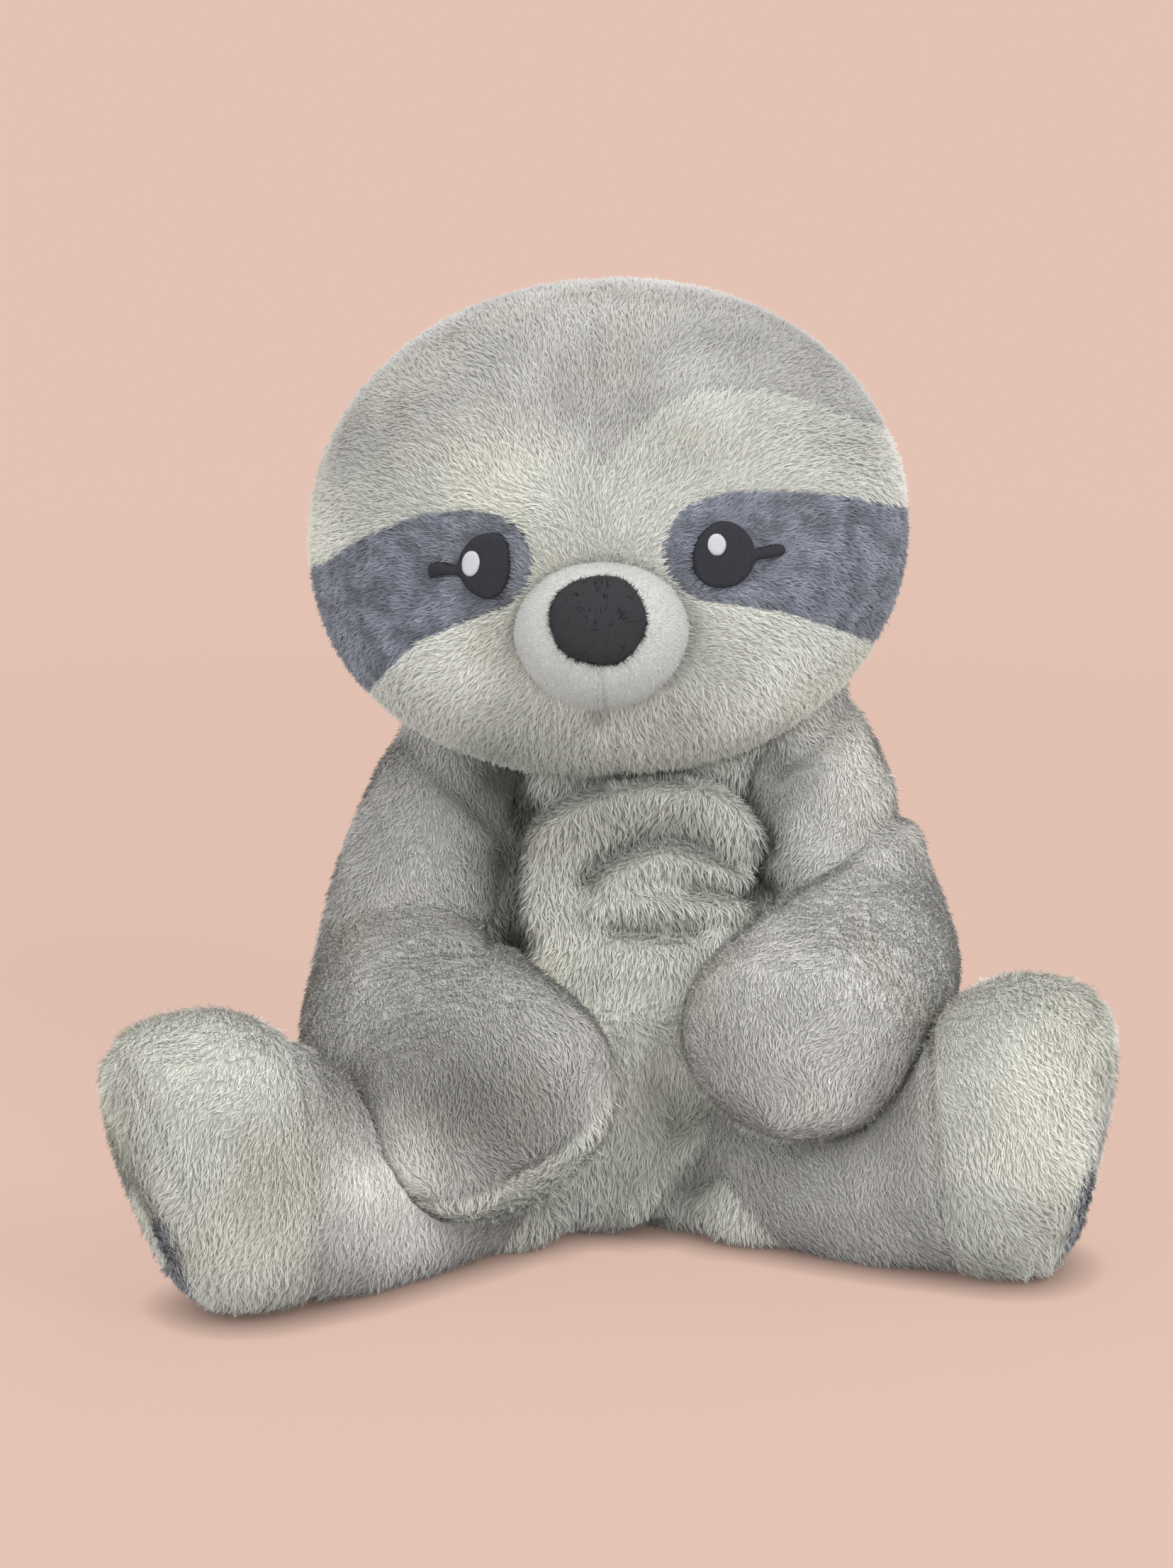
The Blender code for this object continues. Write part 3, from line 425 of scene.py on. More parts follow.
def in_picture(points):
    """Where points fall in the photograph, in its pixels."""
    place, right, up, back = camera_axes()
    from_camera = np.asarray(points) - np.array(place)
    depth = -from_camera @ np.array(back)
    across = from_camera @ np.array(right) / depth
    upward = from_camera @ np.array(up) / depth
    return np.column_stack(
        (0.5 * PICTURE_SIZE[0] + across * pixel_scale(), 0.5 * PICTURE_SIZE[1] - upward * pixel_scale())
    )


def seen_at(tree, x, y):
    """The point and normal of a surface at a pixel, or its nearest where the pixel misses it."""
    place, right, up, back = camera_axes()
    slope_x = (x - 0.5 * PICTURE_SIZE[0]) / pixel_scale()
    slope_y = (0.5 * PICTURE_SIZE[1] - y) / pixel_scale()
    way = (right * slope_x + up * slope_y - back).normalized()
    point, normal, _, _ = tree.ray_cast(place, way)
    if point is None:
        point, normal, _, _ = tree.find_nearest(place + way * CAMERA_DISTANCE)
    return point, normal


def from_segment(places, start, end):
    """Distance of each place from a straight piece of line."""
    edge = end - start
    along = np.clip(((places - start) @ edge) / (edge @ edge), 0, 1)
    return np.linalg.norm(places - start - along[:, None] * edge, axis=1)


def depth_inside(places, outline):
    """How far each flat place lies inside a closed outline; negative outside."""
    corners = np.array(outline, dtype=float)
    least = np.full(len(places), 1e9)
    inside = np.zeros(len(places), dtype=bool)
    for start, end in zip(corners, np.roll(corners, -1, axis=0)):
        least = np.minimum(least, from_segment(places, start, end))
        if start[1] != end[1]:
            crosses = (start[1] > places[:, 1]) != (end[1] > places[:, 1])
            at = start[0] + (places[:, 1] - start[1]) / (end[1] - start[1]) * (end - start)[0]
            inside ^= crosses & (places[:, 0] < at)
    return np.where(inside, least, -least)


# Size of the photograph's pixel at the toy
PIXEL = 0.00025


# Node trees


class Wire:
    """One output of a node, with arithmetic that adds Math nodes."""

    def __init__(self, tree, socket):
        self.tree = tree
        self.socket = socket

    def math(self, operation, *others):
        return self.tree.node("ShaderNodeMath", {"operation": operation}, dict(enumerate((self, *others)))).out()

    def __add__(self, other):
        return self.math("ADD", other)

    def __radd__(self, other):
        return self.math("ADD", other)

    def __mul__(self, other):
        return self.math("MULTIPLY", other)

    def __rmul__(self, other):
        return self.math("MULTIPLY", other)

    def __sub__(self, other):
        return self.math("SUBTRACT", other)

    def __rsub__(self, other):
        return self.tree.node("ShaderNodeMath", {"operation": "SUBTRACT"}, {0: other, 1: self}).out()

    def __truediv__(self, other):
        return self.math("DIVIDE", other)


class Made:
    """A node just made, whose outputs are asked for by name or number."""

    def __init__(self, tree, node):
        self.tree = tree
        self.node = node

    def out(self, key=0):
        return Wire(self.tree, self.node.outputs[key])


class Tree:
    """A node tree that is written as Python expressions."""

    def __init__(self, tree):
        self.tree = tree

    def node(self, kind, settings=None, values=None):
        node = self.tree.nodes.new(kind)
        for key, value in (settings or {}).items():
            setattr(node, key, value)
        for key, value in (values or {}).items():
            if isinstance(value, Wire):
                self.tree.links.new(value.socket, node.inputs[key])
            else:
                node.inputs[key].default_value = value
        return Made(self, node)

    def attribute(self, name, output="Fac"):
        return self.node("ShaderNodeAttribute", {"attribute_name": name}).out(output)

    def noise(self, scale, detail, vector):
        values = {"Scale": scale, "Detail": detail, "Vector": vector}
        return self.node("ShaderNodeTexNoise", {}, values).out()

    def ramp(self, value, low, high):
        """0 below low, 1 above high, and smooth between them."""
        settings = {"interpolation_type": "SMOOTHSTEP"}
        values = {"Value": value, "From Min": low, "From Max": high}
        return self.node("ShaderNodeMapRange", settings, values).out()

    def mix(self, share, first, second, blend="MIX"):
        """Two colours mixed; the share and either colour may be a wire."""
        settings = {"data_type": "RGBA", "blend_type": blend, "clamp_factor": True}
        return self.node("ShaderNodeMix", settings, {0: share, 6: opaque(first), 7: opaque(second)}).out(2)

    def vector(self, operation, *operands, output=0):
        return self.node("ShaderNodeVectorMath", {"operation": operation}, dict(enumerate(operands))).out(output)

    def grey(self, level):
        return self.node("ShaderNodeCombineXYZ", {}, {0: level, 1: level, 2: level}).out()

    def directly_seen(self):
        """1 for a ray that shows the surface in the picture, 0 for one by which it only gives light."""
        path = self.node("ShaderNodeLightPath")
        return path.out("Is Camera Ray") + path.out("Is Glossy Ray") + path.out("Is Transmission Ray")


def opaque(colour):
    return colour if isinstance(colour, Wire) else (*colour, 1.0)


def empty_tree(owner):
    """The node tree of a material or a world, with nothing in it yet."""
    owner.use_nodes = True
    owner.node_tree.nodes.clear()
    return Tree(owner.node_tree)


def finish_tree(name):
    """A new material with a Principled shader that is wired to its output."""
    material = bpy.data.materials.new(name)
    tree = empty_tree(material)
    shader = tree.node("ShaderNodeBsdfPrincipled")
    tree.node("ShaderNodeOutputMaterial", {}, {"Surface": shader.out("BSDF")})
    return material, tree, shader.node.inputs


def wire(tree, inputs, key, value):
    tree.tree.links.new(value.socket, inputs[key])


SHEEN_WEIGHT = 0.22
SHEEN_ROUGHNESS = 0.5
DULL_GLOSS = 0.15
# How far the strands are lit as the cover beneath them
SOFTNESS = 0.85
# How much darker and lighter the dark cloth is mottled
PATCH_SHADES = (0.76, 1.34)
# How much darker the ground is than the pile
GROUND_SHADE = 0.30


def set_shine(inputs, roughness, dull=False):
    inputs["Roughness"].default_value = roughness
    inputs["Sheen Weight"].default_value = 0.0 if dull else SHEEN_WEIGHT
    if dull:
        inputs["Specular IOR Level"].default_value = DULL_GLOSS


def relief(tree, strength, distance, height):
    values = {"Strength": strength, "Distance": distance, "Height": height}
    return tree.node("ShaderNodeBump", {}, values).out("Normal")


def soft_normal(tree):
    """A strand's own normal, turned towards that of the cover that it stands on."""
    settings = {"vector_type": "NORMAL", "convert_from": "OBJECT", "convert_to": "WORLD"}
    values = {"Vector": tree.attribute("outward", "Vector")}
    outward = tree.node("ShaderNodeVectorTransform", settings, values).out()
    own = tree.node("ShaderNodeNewGeometry").out("Normal")
    towards = tree.vector("MULTIPLY", outward, (SOFTNESS, SOFTNESS, SOFTNESS))
    return tree.vector("NORMALIZE", tree.vector("ADD", own, towards))


def plush_colour(tree, colours, place):
    """The cloth's colour at a place, from the marks that the covers carry."""
    ragged = (tree.noise(420.0, 2.0, place) - 0.5) * 0.0016
    lightness = tree.ramp(tree.attribute("light_by") + ragged, -0.0006, 0.0006)
    darkness = tree.ramp(tree.attribute("patch_by") + ragged, -0.0004, 0.0004)
    cloth = tree.mix(lightness, tuple(colours.grey), tuple(colours.light))
    mottled = tree.ramp(tree.noise(120.0, 4.0, place), 0.36, 0.66)
    shades = [tuple(shade * part for part in colours.patch) for shade in PATCH_SHADES]
    patch = tree.mix(mottled, *shades)
    cloth = tree.mix(darkness, cloth, patch)
    brushed = tree.ramp(tree.noise(26.0, 3.0, place), 0.30, 0.72)
    warm = tree.ramp(tree.noise(17.0, 2.0, tree.vector("ADD", place, (3.1, 1.7, 5.2))), 0.42, 0.70)
    cloth = tree.mix(warm * 0.35, cloth, (0.98, 0.95, 0.80), "MULTIPLY")
    fine = tree.noise(900.0, 2.0, place)
    # The nap's own mottle, scaled by the tone of nap and painted light and shade that the cover carries
    level = (0.86 + brushed * 0.24 + (fine - 0.5) * 0.16) * (tree.attribute("brushed") * 1.4 + 1.0)
    return tree.vector("MULTIPLY", cloth, tree.grey(level))


def cloth_finish(colours):
    """The woven ground that the pile stands on."""
    if "plush_cloth" in bpy.data.materials:
        return bpy.data.materials["plush_cloth"]
    material, tree, inputs = finish_tree("plush_cloth")
    place = tree.node("ShaderNodeTexCoord").out("Object")
    ground = tree.mix(GROUND_SHADE, plush_colour(tree, colours, place), (0.0, 0.0, 0.0))
    wire(tree, inputs, "Base Color", ground)
    wire(tree, inputs, "Normal", relief(tree, 0.6, 0.0006, tree.noise(1400.0, 3.0, place)))
    set_shine(inputs, 0.95)
    return material


def pile_finish(colours):
    """The strands: darker at the root, and lit as the soft surface that they make up."""
    if "plush_pile" in bpy.data.materials:
        return bpy.data.materials["plush_pile"]
    material, tree, inputs = finish_tree("plush_pile")
    place = tree.node("ShaderNodeTexCoord").out("Object")
    # Painted shade: each strand darkens towards its root, as if shaded deep in the pile
    level = 0.86 + tree.ramp(tree.attribute("tip"), 0.0, 1.0) * 0.20
    level = level * (0.90 + tree.attribute("strand_random") * 0.20)
    wire(tree, inputs, "Base Color", tree.vector("MULTIPLY", plush_colour(tree, colours, place), tree.grey(level)))
    wire(tree, inputs, "Normal", soft_normal(tree))
    set_shine(inputs, 0.85)
    inputs["Sheen Roughness"].default_value = SHEEN_ROUGHNESS
    return material


def plain_finish(name, colour, roughness, scale, height, stretch=(1.0, 1.0, 1.0), spread=0.16, dull=False):
    """Thread, felt or wadding: one colour with a fine relief and a little unevenness."""
    material, tree, inputs = finish_tree(name)
    place = tree.node("ShaderNodeTexCoord").out("Object")
    fine = tree.noise(scale, 3.0, tree.vector("MULTIPLY", place, stretch))
    level = 1.0 - 0.5 * spread + fine * spread
    wire(tree, inputs, "Base Color", tree.vector("MULTIPLY", tree.grey(level), tuple(colour)))
    wire(tree, inputs, "Normal", relief(tree, 0.8, height, fine))
    set_shine(inputs, roughness, dull)
    return material


def single_colour_pile(name, colour, spread, dull=False):
    """Pile of one colour, for the muzzle and the nose, with a spread of tone from strand to strand."""
    material, tree, inputs = finish_tree(name)
    place = tree.node("ShaderNodeTexCoord").out("Object")
    # Painted shade: each strand darkens towards its root, as if shaded deep in the pile
    level = (0.80 + tree.attribute("tip") * 0.22) * (1 - 0.5 * spread + tree.attribute("strand_random") * spread)
    level = level * (0.94 + tree.ramp(tree.noise(60.0, 2.0, place), 0.3, 0.7) * 0.10)
    level = level * (1 - 0.5 * spread + tree.ramp(tree.noise(420.0, 2.0, place), 0.3, 0.7) * spread)
    wire(tree, inputs, "Base Color", tree.vector("MULTIPLY", tree.grey(level), tuple(colour)))
    wire(tree, inputs, "Normal", soft_normal(tree))
    set_shine(inputs, 0.9, dull)
    return material


# Pile


def strand_shape():
    """One flat tapering strand, one unit long and wide, that droops at its tip."""
    points = ((-0.5, 0, 0), (0.5, 0, 0), (-0.36, 0.05, 0.55), (0.36, 0.05, 0.55), (0, -0.10, 1))
    strand = mesh_object("strand", points, [(0, 1, 3, 2), (2, 3, 4)])
    tips = strand.data.attributes.new("tip", "FLOAT", "POINT")
    tips.data.foreach_set("value", [0.0, 0.0, 0.55, 0.55, 1.0])
    strand.hide_render = True
    return strand


PILE_INPUTS = (
    ("Strands", "NodeSocketFloat"),
    ("Strand Width", "NodeSocketFloat"),
    ("Clump Size", "NodeSocketFloat"),
    ("Rise", "NodeSocketFloat"),
    ("Lean", "NodeSocketFloat"),
    ("Clump Pull", "NodeSocketFloat"),
    ("Tuft Turn", "NodeSocketFloat"),
    ("Stray", "NodeSocketFloat"),
    ("Seed", "NodeSocketInt"),
    ("Strand", "NodeSocketObject"),
    ("Finish", "NodeSocketMaterial"),
)


def pile_tree():
    """Strands rooted all over a cover, combed along its lay and drawn into clumps."""
    group = bpy.data.node_groups.new("Pile", "GeometryNodeTree")
    group.is_modifier = True
    group.interface.new_socket("Geometry", in_out="INPUT", socket_type="NodeSocketGeometry")
    for name, kind in PILE_INPUTS:
        group.interface.new_socket(name, in_out="INPUT", socket_type=kind)
    group.interface.new_socket("Geometry", in_out="OUTPUT", socket_type="NodeSocketGeometry")
    tree = Tree(group)
    given = tree.node("NodeGroupInput")

    def named(name, kind="FLOAT"):
        return tree.node("GeometryNodeInputNamedAttribute", {"data_type": kind}, {"Name": name}).out()

    def scaled(vector, factor):
        return tree.node("ShaderNodeVectorMath", {"operation": "SCALE"}, {0: vector, "Scale": factor}).out()

    cover = given.out("Geometry")
    scatter = {"Mesh": cover, "Density": given.out("Strands") * named("cover"), "Seed": given.out("Seed")}
    points = tree.node("GeometryNodeDistributePointsOnFaces", {"distribute_method": "RANDOM"}, scatter).out("Points")
    chance = tree.node("FunctionNodeRandomValue", {"data_type": "FLOAT"}, {"Seed": 5}).out(1)
    points = tree.node(
        "GeometryNodeStoreNamedAttribute",
        {"data_type": "FLOAT", "domain": "POINT"},
        {"Geometry": points, "Name": "strand_random", "Value": chance},
    ).out()
    root = tree.node("GeometryNodeInputPosition").out()
    size = given.out("Clump Size")
    fineness = tree.node("ShaderNodeMath", {"operation": "DIVIDE"}, {0: 1.0, 1: size}).out()
    cells = tree.node("ShaderNodeTexVoronoi", {}, {"Vector": root, "Scale": fineness})
    inwards = tree.vector("SUBTRACT", cells.out("Position"), root)
    pull = scaled(inwards, given.out("Clump Pull") / size)
    turned = scaled(tree.vector("SUBTRACT", cells.out("Color"), (0.5, 0.5, 0.5)), given.out("Tuft Turn"))
    stray_values = {0: (-1.0, -1.0, -1.0), 1: (1.0, 1.0, 1.0), "Seed": 9}
    stray = tree.node("FunctionNodeRandomValue", {"data_type": "FLOAT_VECTOR"}, stray_values).out(0)
    outward = tree.vector("NORMALIZE", named("outward", "FLOAT_VECTOR"))
    lean = scaled(named("lay", "FLOAT_VECTOR"), given.out("Lean"))
    way = scaled(outward, given.out("Rise"))
    for share in (lean, pull, turned, scaled(stray, given.out("Stray"))):
        way = tree.vector("ADD", way, share)
    rotation = tree.node(
        "FunctionNodeAxesToRotation",
        {"primary_axis": "Z", "secondary_axis": "Y"},
        {"Primary Axis": tree.vector("NORMALIZE", way), "Secondary Axis": outward},
    ).out()
    length = named("pile") * (0.72 + chance * 0.50)
    width = given.out("Strand Width") * (0.75 + chance * 0.5)
    scale = tree.node("ShaderNodeCombineXYZ", {}, {0: width, 1: length, 2: length}).out()
    strand = tree.node("GeometryNodeObjectInfo", {}, {"Object": given.out("Strand")}).out("Geometry")
    strands = tree.node(
        "GeometryNodeInstanceOnPoints", {}, {"Points": points, "Instance": strand, "Rotation": rotation, "Scale": scale}
    ).out()
    strands = tree.node("GeometryNodeRealizeInstances", {}, {"Geometry": strands}).out()
    strands = tree.node("GeometryNodeSetMaterial", {}, {"Geometry": strands, "Material": given.out("Finish")}).out()
    together = tree.node("GeometryNodeJoinGeometry").node
    group.links.new(cover.socket, together.inputs[0])
    group.links.new(strands.socket, together.inputs[0])
    tree.node("NodeGroupOutput", {}, {"Geometry": Wire(tree, together.outputs[0])})
    return group


def set_inputs(modifier, values):
    """Sets a node modifier's inputs, found by name, through their identifiers."""
    for item in modifier.node_group.interface.items_tree:
        if item.item_type == "SOCKET" and item.in_out == "INPUT" and item.name in values:
            modifier[item.identifier] = values[item.name]


def mark(thing, name, values):
    """Stores a number or a vector for each point of a cover."""
    values = np.asarray(values, dtype=np.float32)
    if values.ndim == 1:
        attribute = thing.data.attributes.new(name, "FLOAT", "POINT")
        attribute.data.foreach_set("value", values)
    else:
        attribute = thing.data.attributes.new(name, "FLOAT_VECTOR", "POINT")
        attribute.data.foreach_set("vector", values.ravel())


SWIRL_SIZE = 0.020
SWIRL = 0.75
SWIRL_SEED = 7
# How far the strands bend to their clump's middle, and how far clumps turn from the lay
CLUMP_PULL = 0.45
TUFT_TURN = 0.45


def combed(thing, way):
    """The lay of the pile: a direction for each point, laid onto the surface, with slow swirls."""
    places, outward = coordinates(thing), normals(thing)
    noise.seed_set(SWIRL_SEED)
    swirls = np.array([noise.noise_vector(Vector(p) / SWIRL_SIZE) for p in places]) * SWIRL
    way = way / np.maximum(np.linalg.norm(way, axis=1, keepdims=True), 1e-9) + swirls
    way = way - outward * (way * outward).sum(1, keepdims=True)
    return way / np.maximum(np.linalg.norm(way, axis=1, keepdims=True), 1e-9)


def grow_pile(thing, seed, finish, density=1.0, width=1.0, clump=1.0, rise=0.55, lean=0.85, stray=0.22):
    """Gives a cover its pile, as part of its mesh, and keeps it above the floor."""
    sizes = bpy.context.scene.sloth_sizes
    strand = strand_shape()
    modifier = thing.modifiers.new("pile", "NODES")
    modifier.node_group = bpy.data.node_groups.get("Pile") or pile_tree()
    values = {
        "Strands": sizes.strands * density,
        "Strand Width": sizes.strand_width * width,
        "Clump Size": sizes.clump * clump,
        "Rise": rise,
        "Lean": lean,
        "Clump Pull": CLUMP_PULL,
        "Tuft Turn": TUFT_TURN,
        "Stray": stray,
        "Seed": seed,
        "Strand": strand,
        "Finish": finish,
    }
    set_inputs(modifier, values)
    applied(thing)
    mesh = strand.data
    bpy.data.objects.remove(strand)
    bpy.data.meshes.remove(mesh)
    on_floor(thing)


def on_floor(thing):
    places = coordinates(thing)
    places[:, 2] = np.maximum(places[:, 2], 0.0)
    move_points(thing, places)


# Stuffed forms

# How far a cover's ground lies under the tips of its pile
PILE_ROOM = 0.0030


def head_form(name="head_form", cuts=6):
    halves = HEAD_HALVES - Vector((PILE_ROOM,) * 3)
    return rounded(name, HEAD_CENTRE, halves, HEAD_TURN, HEAD_SQUARENESS, cuts)


def torso_form(name="torso_form"):
    rings = [(0, 0, z, 0, 0, 1, wide, deep) for z, wide, deep in TORSO_RINGS]
    parts = [loft("trunk", between(rings, LOFT_STEPS), Vector((0, 1, 0)), 0.0, TORSO_DOME)]
    for centre, halves in TORSO_ROLLS:
        parts.append(rounded("roll", Vector(centre), Vector(halves), Matrix.Identity(3), ROLL_SQUARENESS, 4))
    return joined(name, parts)


def arm_form(side, name=None, swell=0.0):
    swell -= 0.5 * PILE_ROOM
    stations = between([(*place, wide + swell, high + swell) for place, wide, high in ARMS[side]], LOFT_STEPS)
    ways = np.gradient(stations[:, :3], axis=0)
    rows = np.column_stack((stations[:, :3], ways, stations[:, 3:]))
    return loft(name or side + "_arm_form", rows, Vector((0, -0.35, 1)), ARM_START_DOME + swell, PAW_DOME + swell)


def leg_form(side, name=None):
    stations = [(*place, *way, wide, high) for place, way, wide, high in LEGS[side]]
    rows = between(stations, LOFT_STEPS)
    rows[-1][:3] -= SOLE_EDGE * rows[-1][3:6]
    rows[:, 6:] += LEG_SWELL
    return loft(name or side + "_leg_form", rows, Vector((0, 0, 1)), rows[0][6], SOLE_DOME, SOLE_FULLNESS)


FORMS = {}


def form_tree(name):
    """The surface of one plain form, kept for the tests of what lies inside what."""
    if name not in FORMS:
        if name == "head":
            form = head_form(cuts=5)
        elif name == "torso":
            form = torso_form()
        else:
            side, limb = name.split("_")
            form = arm_form(side) if limb == "arm" else leg_form(side)
        FORMS[name] = surface_tree(form)
        remove(form)
    return FORMS[name]


# How deep a cover lies in another at their seam, past which nothing uncovers the cloth
LIMB_DEPTH = 0.020
# The paws rest on the lap below this height, and lift off it
PAW_TOP = 0.125


def shown_share(thing, others, deep=0.007):
    """1 for a point of a cover that can be seen, 0 for one buried deep in another form."""
    share = np.ones(len(thing.data.vertices))
    for name in others:
        tree = form_tree(name)
        for index, place in enumerate(coordinates(thing)):
            if share[index]:
                point, normal, _, distance = tree.find_nearest(place)
                if distance > deep and (Vector(place) - point).dot(normal) < 0:
                    share[index] = 0.0
    return share


CLOTH_FRAMES = 20


def puffed(thing, pressure=4.0, growth=0.03, most=0.006):
    """Presses the cover out with its filling, lets its spare cloth crumple, and keeps its size."""
    start, outward = coordinates(thing), normals(thing)
    cloth = thing.modifiers.new("filling", "CLOTH")
    settings = cloth.settings
    settings.quality = 6
    settings.mass = 0.2
    settings.use_pressure = True
    settings.uniform_pressure_force = pressure
    settings.shrink_min = -growth
    settings.tension_stiffness = settings.compression_stiffness = 12
    settings.bending_stiffness = 0.4
    settings.effector_weights.gravity = 0
    cloth.collision_settings.use_collision = False
    cloth.point_cache.frame_start = 1
    cloth.point_cache.frame_end = CLOTH_FRAMES
    scene = bpy.context.scene
    for step in range(1, CLOTH_FRAMES + 1):
        scene.frame_set(step)
    applied(thing)
    scene.frame_set(1)
    moves = coordinates(thing) - start
    swell = (moves * outward).sum(1)
    moves -= outward * swell.mean()
    sizes = np.linalg.norm(moves, axis=1, keepdims=True)
    move_points(thing, start + moves * np.minimum(1.0, most / np.maximum(sizes, 1e-9)))
    return thing


def refined(thing):
    """One round of subdivision, made part of the mesh."""
    subdivision = thing.modifiers.new("finer", "SUBSURF")
    subdivision.levels = subdivision.render_levels = 1
    return applied(thing)


def pressed(thing, heights):
    """Moves each point along its normal."""
    move_points(thing, coordinates(thing) + normals(thing) * heights[:, None])
    return thing


def furrow(distance, width):
    return np.exp(-((distance / width) ** 2))


def off_line(places, line):
    """Distance of each point from a line of points."""
    least = np.full(len(places), 1e9)
    corners = np.array([tuple(point) for point in line])
    for start, end in zip(corners[:-1], corners[1:]):
        least = np.minimum(least, from_segment(places, start, end))
    return least


def creased(thing, strokes):
    """Folds drawn on the photograph's pixels: each is a line of pixels, a width and a height."""
    tree = surface_tree(thing)
    places = coordinates(thing)
    heights = np.zeros(len(places))
    for pixels, width, height in strokes:
        line = [tuple(seen_at(tree, x, y)[0]) for x, y in pixels]
        heights += height * furrow(off_line(places, between(line, 4)), width)
    # The folds' depths, kept for the painted shade in their valleys
    mark(thing, "fold", heights)
    return pressed(thing, heights)


def head_places(places):
    """Points in the head's own axes, from its middle."""
    return (places - np.array(HEAD_CENTRE)) @ np.array(HEAD_TURN)


def pile_lengths(sizes, light_by, patch_by):
    lengths = np.where(light_by > 0, sizes.light_pile, sizes.grey_pile)
    return np.where(patch_by > 0, sizes.patch_pile, lengths)


# Spots where the pile's tone changes, from the way its nap was last brushed and from painted light and shade: pixels,
# radius in pixels and change of tone
NAP_LIGHT_AND_SHADE_SPOTS = (
    (664, 520, 120, -0.08), (780, 470, 60, 0.02), (531, 640, 90, -0.08), (860, 560, 70, -0.10),
    (1106, 490, 110, -0.20), (995, 465, 80, -0.05), (1210, 600, 70, -0.12), (962, 420, 80, -0.03),
    (790, 680, 90, 0.06), (619, 676, 90, -0.06), (540, 660, 80, -0.05), (930, 620, 70, -0.14),
    (1117, 641, 110, -0.02), (1062, 930, 110, 0.12), (640, 970, 90, 0.16), (850, 1050, 120, 0.08),
    (842, 1008, 14, -0.30), (700, 1050, 60, -0.10), (575, 1172, 90, -0.02), (520, 1330, 80, 0.06),
    (560, 1370, 70, 0.08), (619, 1530, 130, -0.34), (740, 1580, 100, -0.26), (850, 1560, 50, 0.20),
    (708, 1370, 70, 0.10), (470, 1470, 50, 0.10), (640, 1090, 50, -0.12), (1215, 1090, 90, 0.22),
    (1261, 1250, 60, -0.04), (1106, 1290, 90, 0.14), (1250, 1340, 110, 0.22), (1062, 1440, 80, 0.06),
    (1195, 1190, 60, 0.12), (1180, 1530, 80, 0.04), (276, 1540, 90, -0.06), (380, 1640, 70, -0.14),
    (230, 1660, 90, -0.06), (540, 1670, 90, 0.60), (610, 1740, 60, 0.20), (1471, 1600, 110, 0.08),
    (1360, 1460, 60, -0.08), (1305, 1637, 80, -0.10), (1106, 1703, 110, -0.02), (1230, 1690, 90, 0.12),
    (1400, 1400, 60, -0.16), (1530, 1560, 60, 0.04), (745, 1150, 28, -0.25), (690, 1090, 30, -0.20),
    (725, 1325, 24, -0.35), (700, 1120, 50, -0.26), (705, 1210, 46, -0.26), (700, 1300, 40, -0.20),
    (1084, 1190, 26, -0.50), (1078, 1250, 24, -0.45), (1090, 1075, 24, -0.25), (850, 1112, 60, -0.14),
    (980, 1105, 60, -0.14), (850, 1438, 120, 0.24), (774, 1560, 80, 0.04), (960, 1640, 90, -0.06),
    (841, 1161, 90, -0.14), (1000, 1230, 60, -0.06),
)


# Painted shade in the folds: how much darker the cloth is where it is folded deepest, and how deep that is
FOLD_SHADE = 0.26
FULL_SHADE_DEPTH = 0.012
DARKEST = -0.6


def brushed(thing):
    """The change of tone of each point's pile from its nap, with painted light and shade and painted shade in the
    folds' valleys, where the photograph's camera sees it.
    """
    pixels = in_picture(coordinates(thing))
    facing = np.clip(normals(thing) @ np.array(camera_axes()[3]) * 3, 0, 1)
    change = np.zeros(len(pixels))
    for x, y, radius, tone in NAP_LIGHT_AND_SHADE_SPOTS:
        change += tone * np.exp(-((pixels[:, 0] - x) ** 2 + (pixels[:, 1] - y) ** 2) / radius**2)
    # Painted shade in the folds' valleys
    if "fold" in thing.data.attributes:
        depths = np.empty(len(pixels), dtype=np.float32)
        thing.data.attributes["fold"].data.foreach_get("value", depths)
        change += FOLD_SHADE * np.clip(depths / FULL_SHADE_DEPTH, -1, 0)
    return np.clip(change, DARKEST, 1.0) * facing


# Share of the strands kept on the sides that the photograph doesn't show
REAR_PILE = 0.47


def plush_marks(thing, light_by, patch_by, pile, cover, way, light_tone=None):
    """Stores what the cloth and its pile need; a light tone, where given, takes the place of the nap's tone and the
    painted light and shade on the light cloth.
    """
    mark(thing, "light_by", light_by)
    mark(thing, "patch_by", patch_by)
    tones = brushed(thing)
    mark(thing, "brushed", tones if light_tone is None else np.where(light_by > 0, light_tone, tones))
    mark(thing, "pile", pile)
    facing = normals(thing) @ np.array(camera_axes()[3])
    mark(thing, "cover", cover * (1 - (1 - REAR_PILE) * np.clip((0.15 - facing) / 0.35, 0, 1)))
    mark(thing, "lay", combed(thing, way))
    mark(thing, "outward", normals(thing))
    thing.data.shade_smooth()


def hand_over(nodes):
    """Hides the frame's parts that a stuffed piece stands for."""
    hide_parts(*nodes)


FAR = 0.1
SEAM_WIDTH = 0.0025
# No pile grows lower than this, where the toy sits on it
FLOOR_GAP = 0.0015

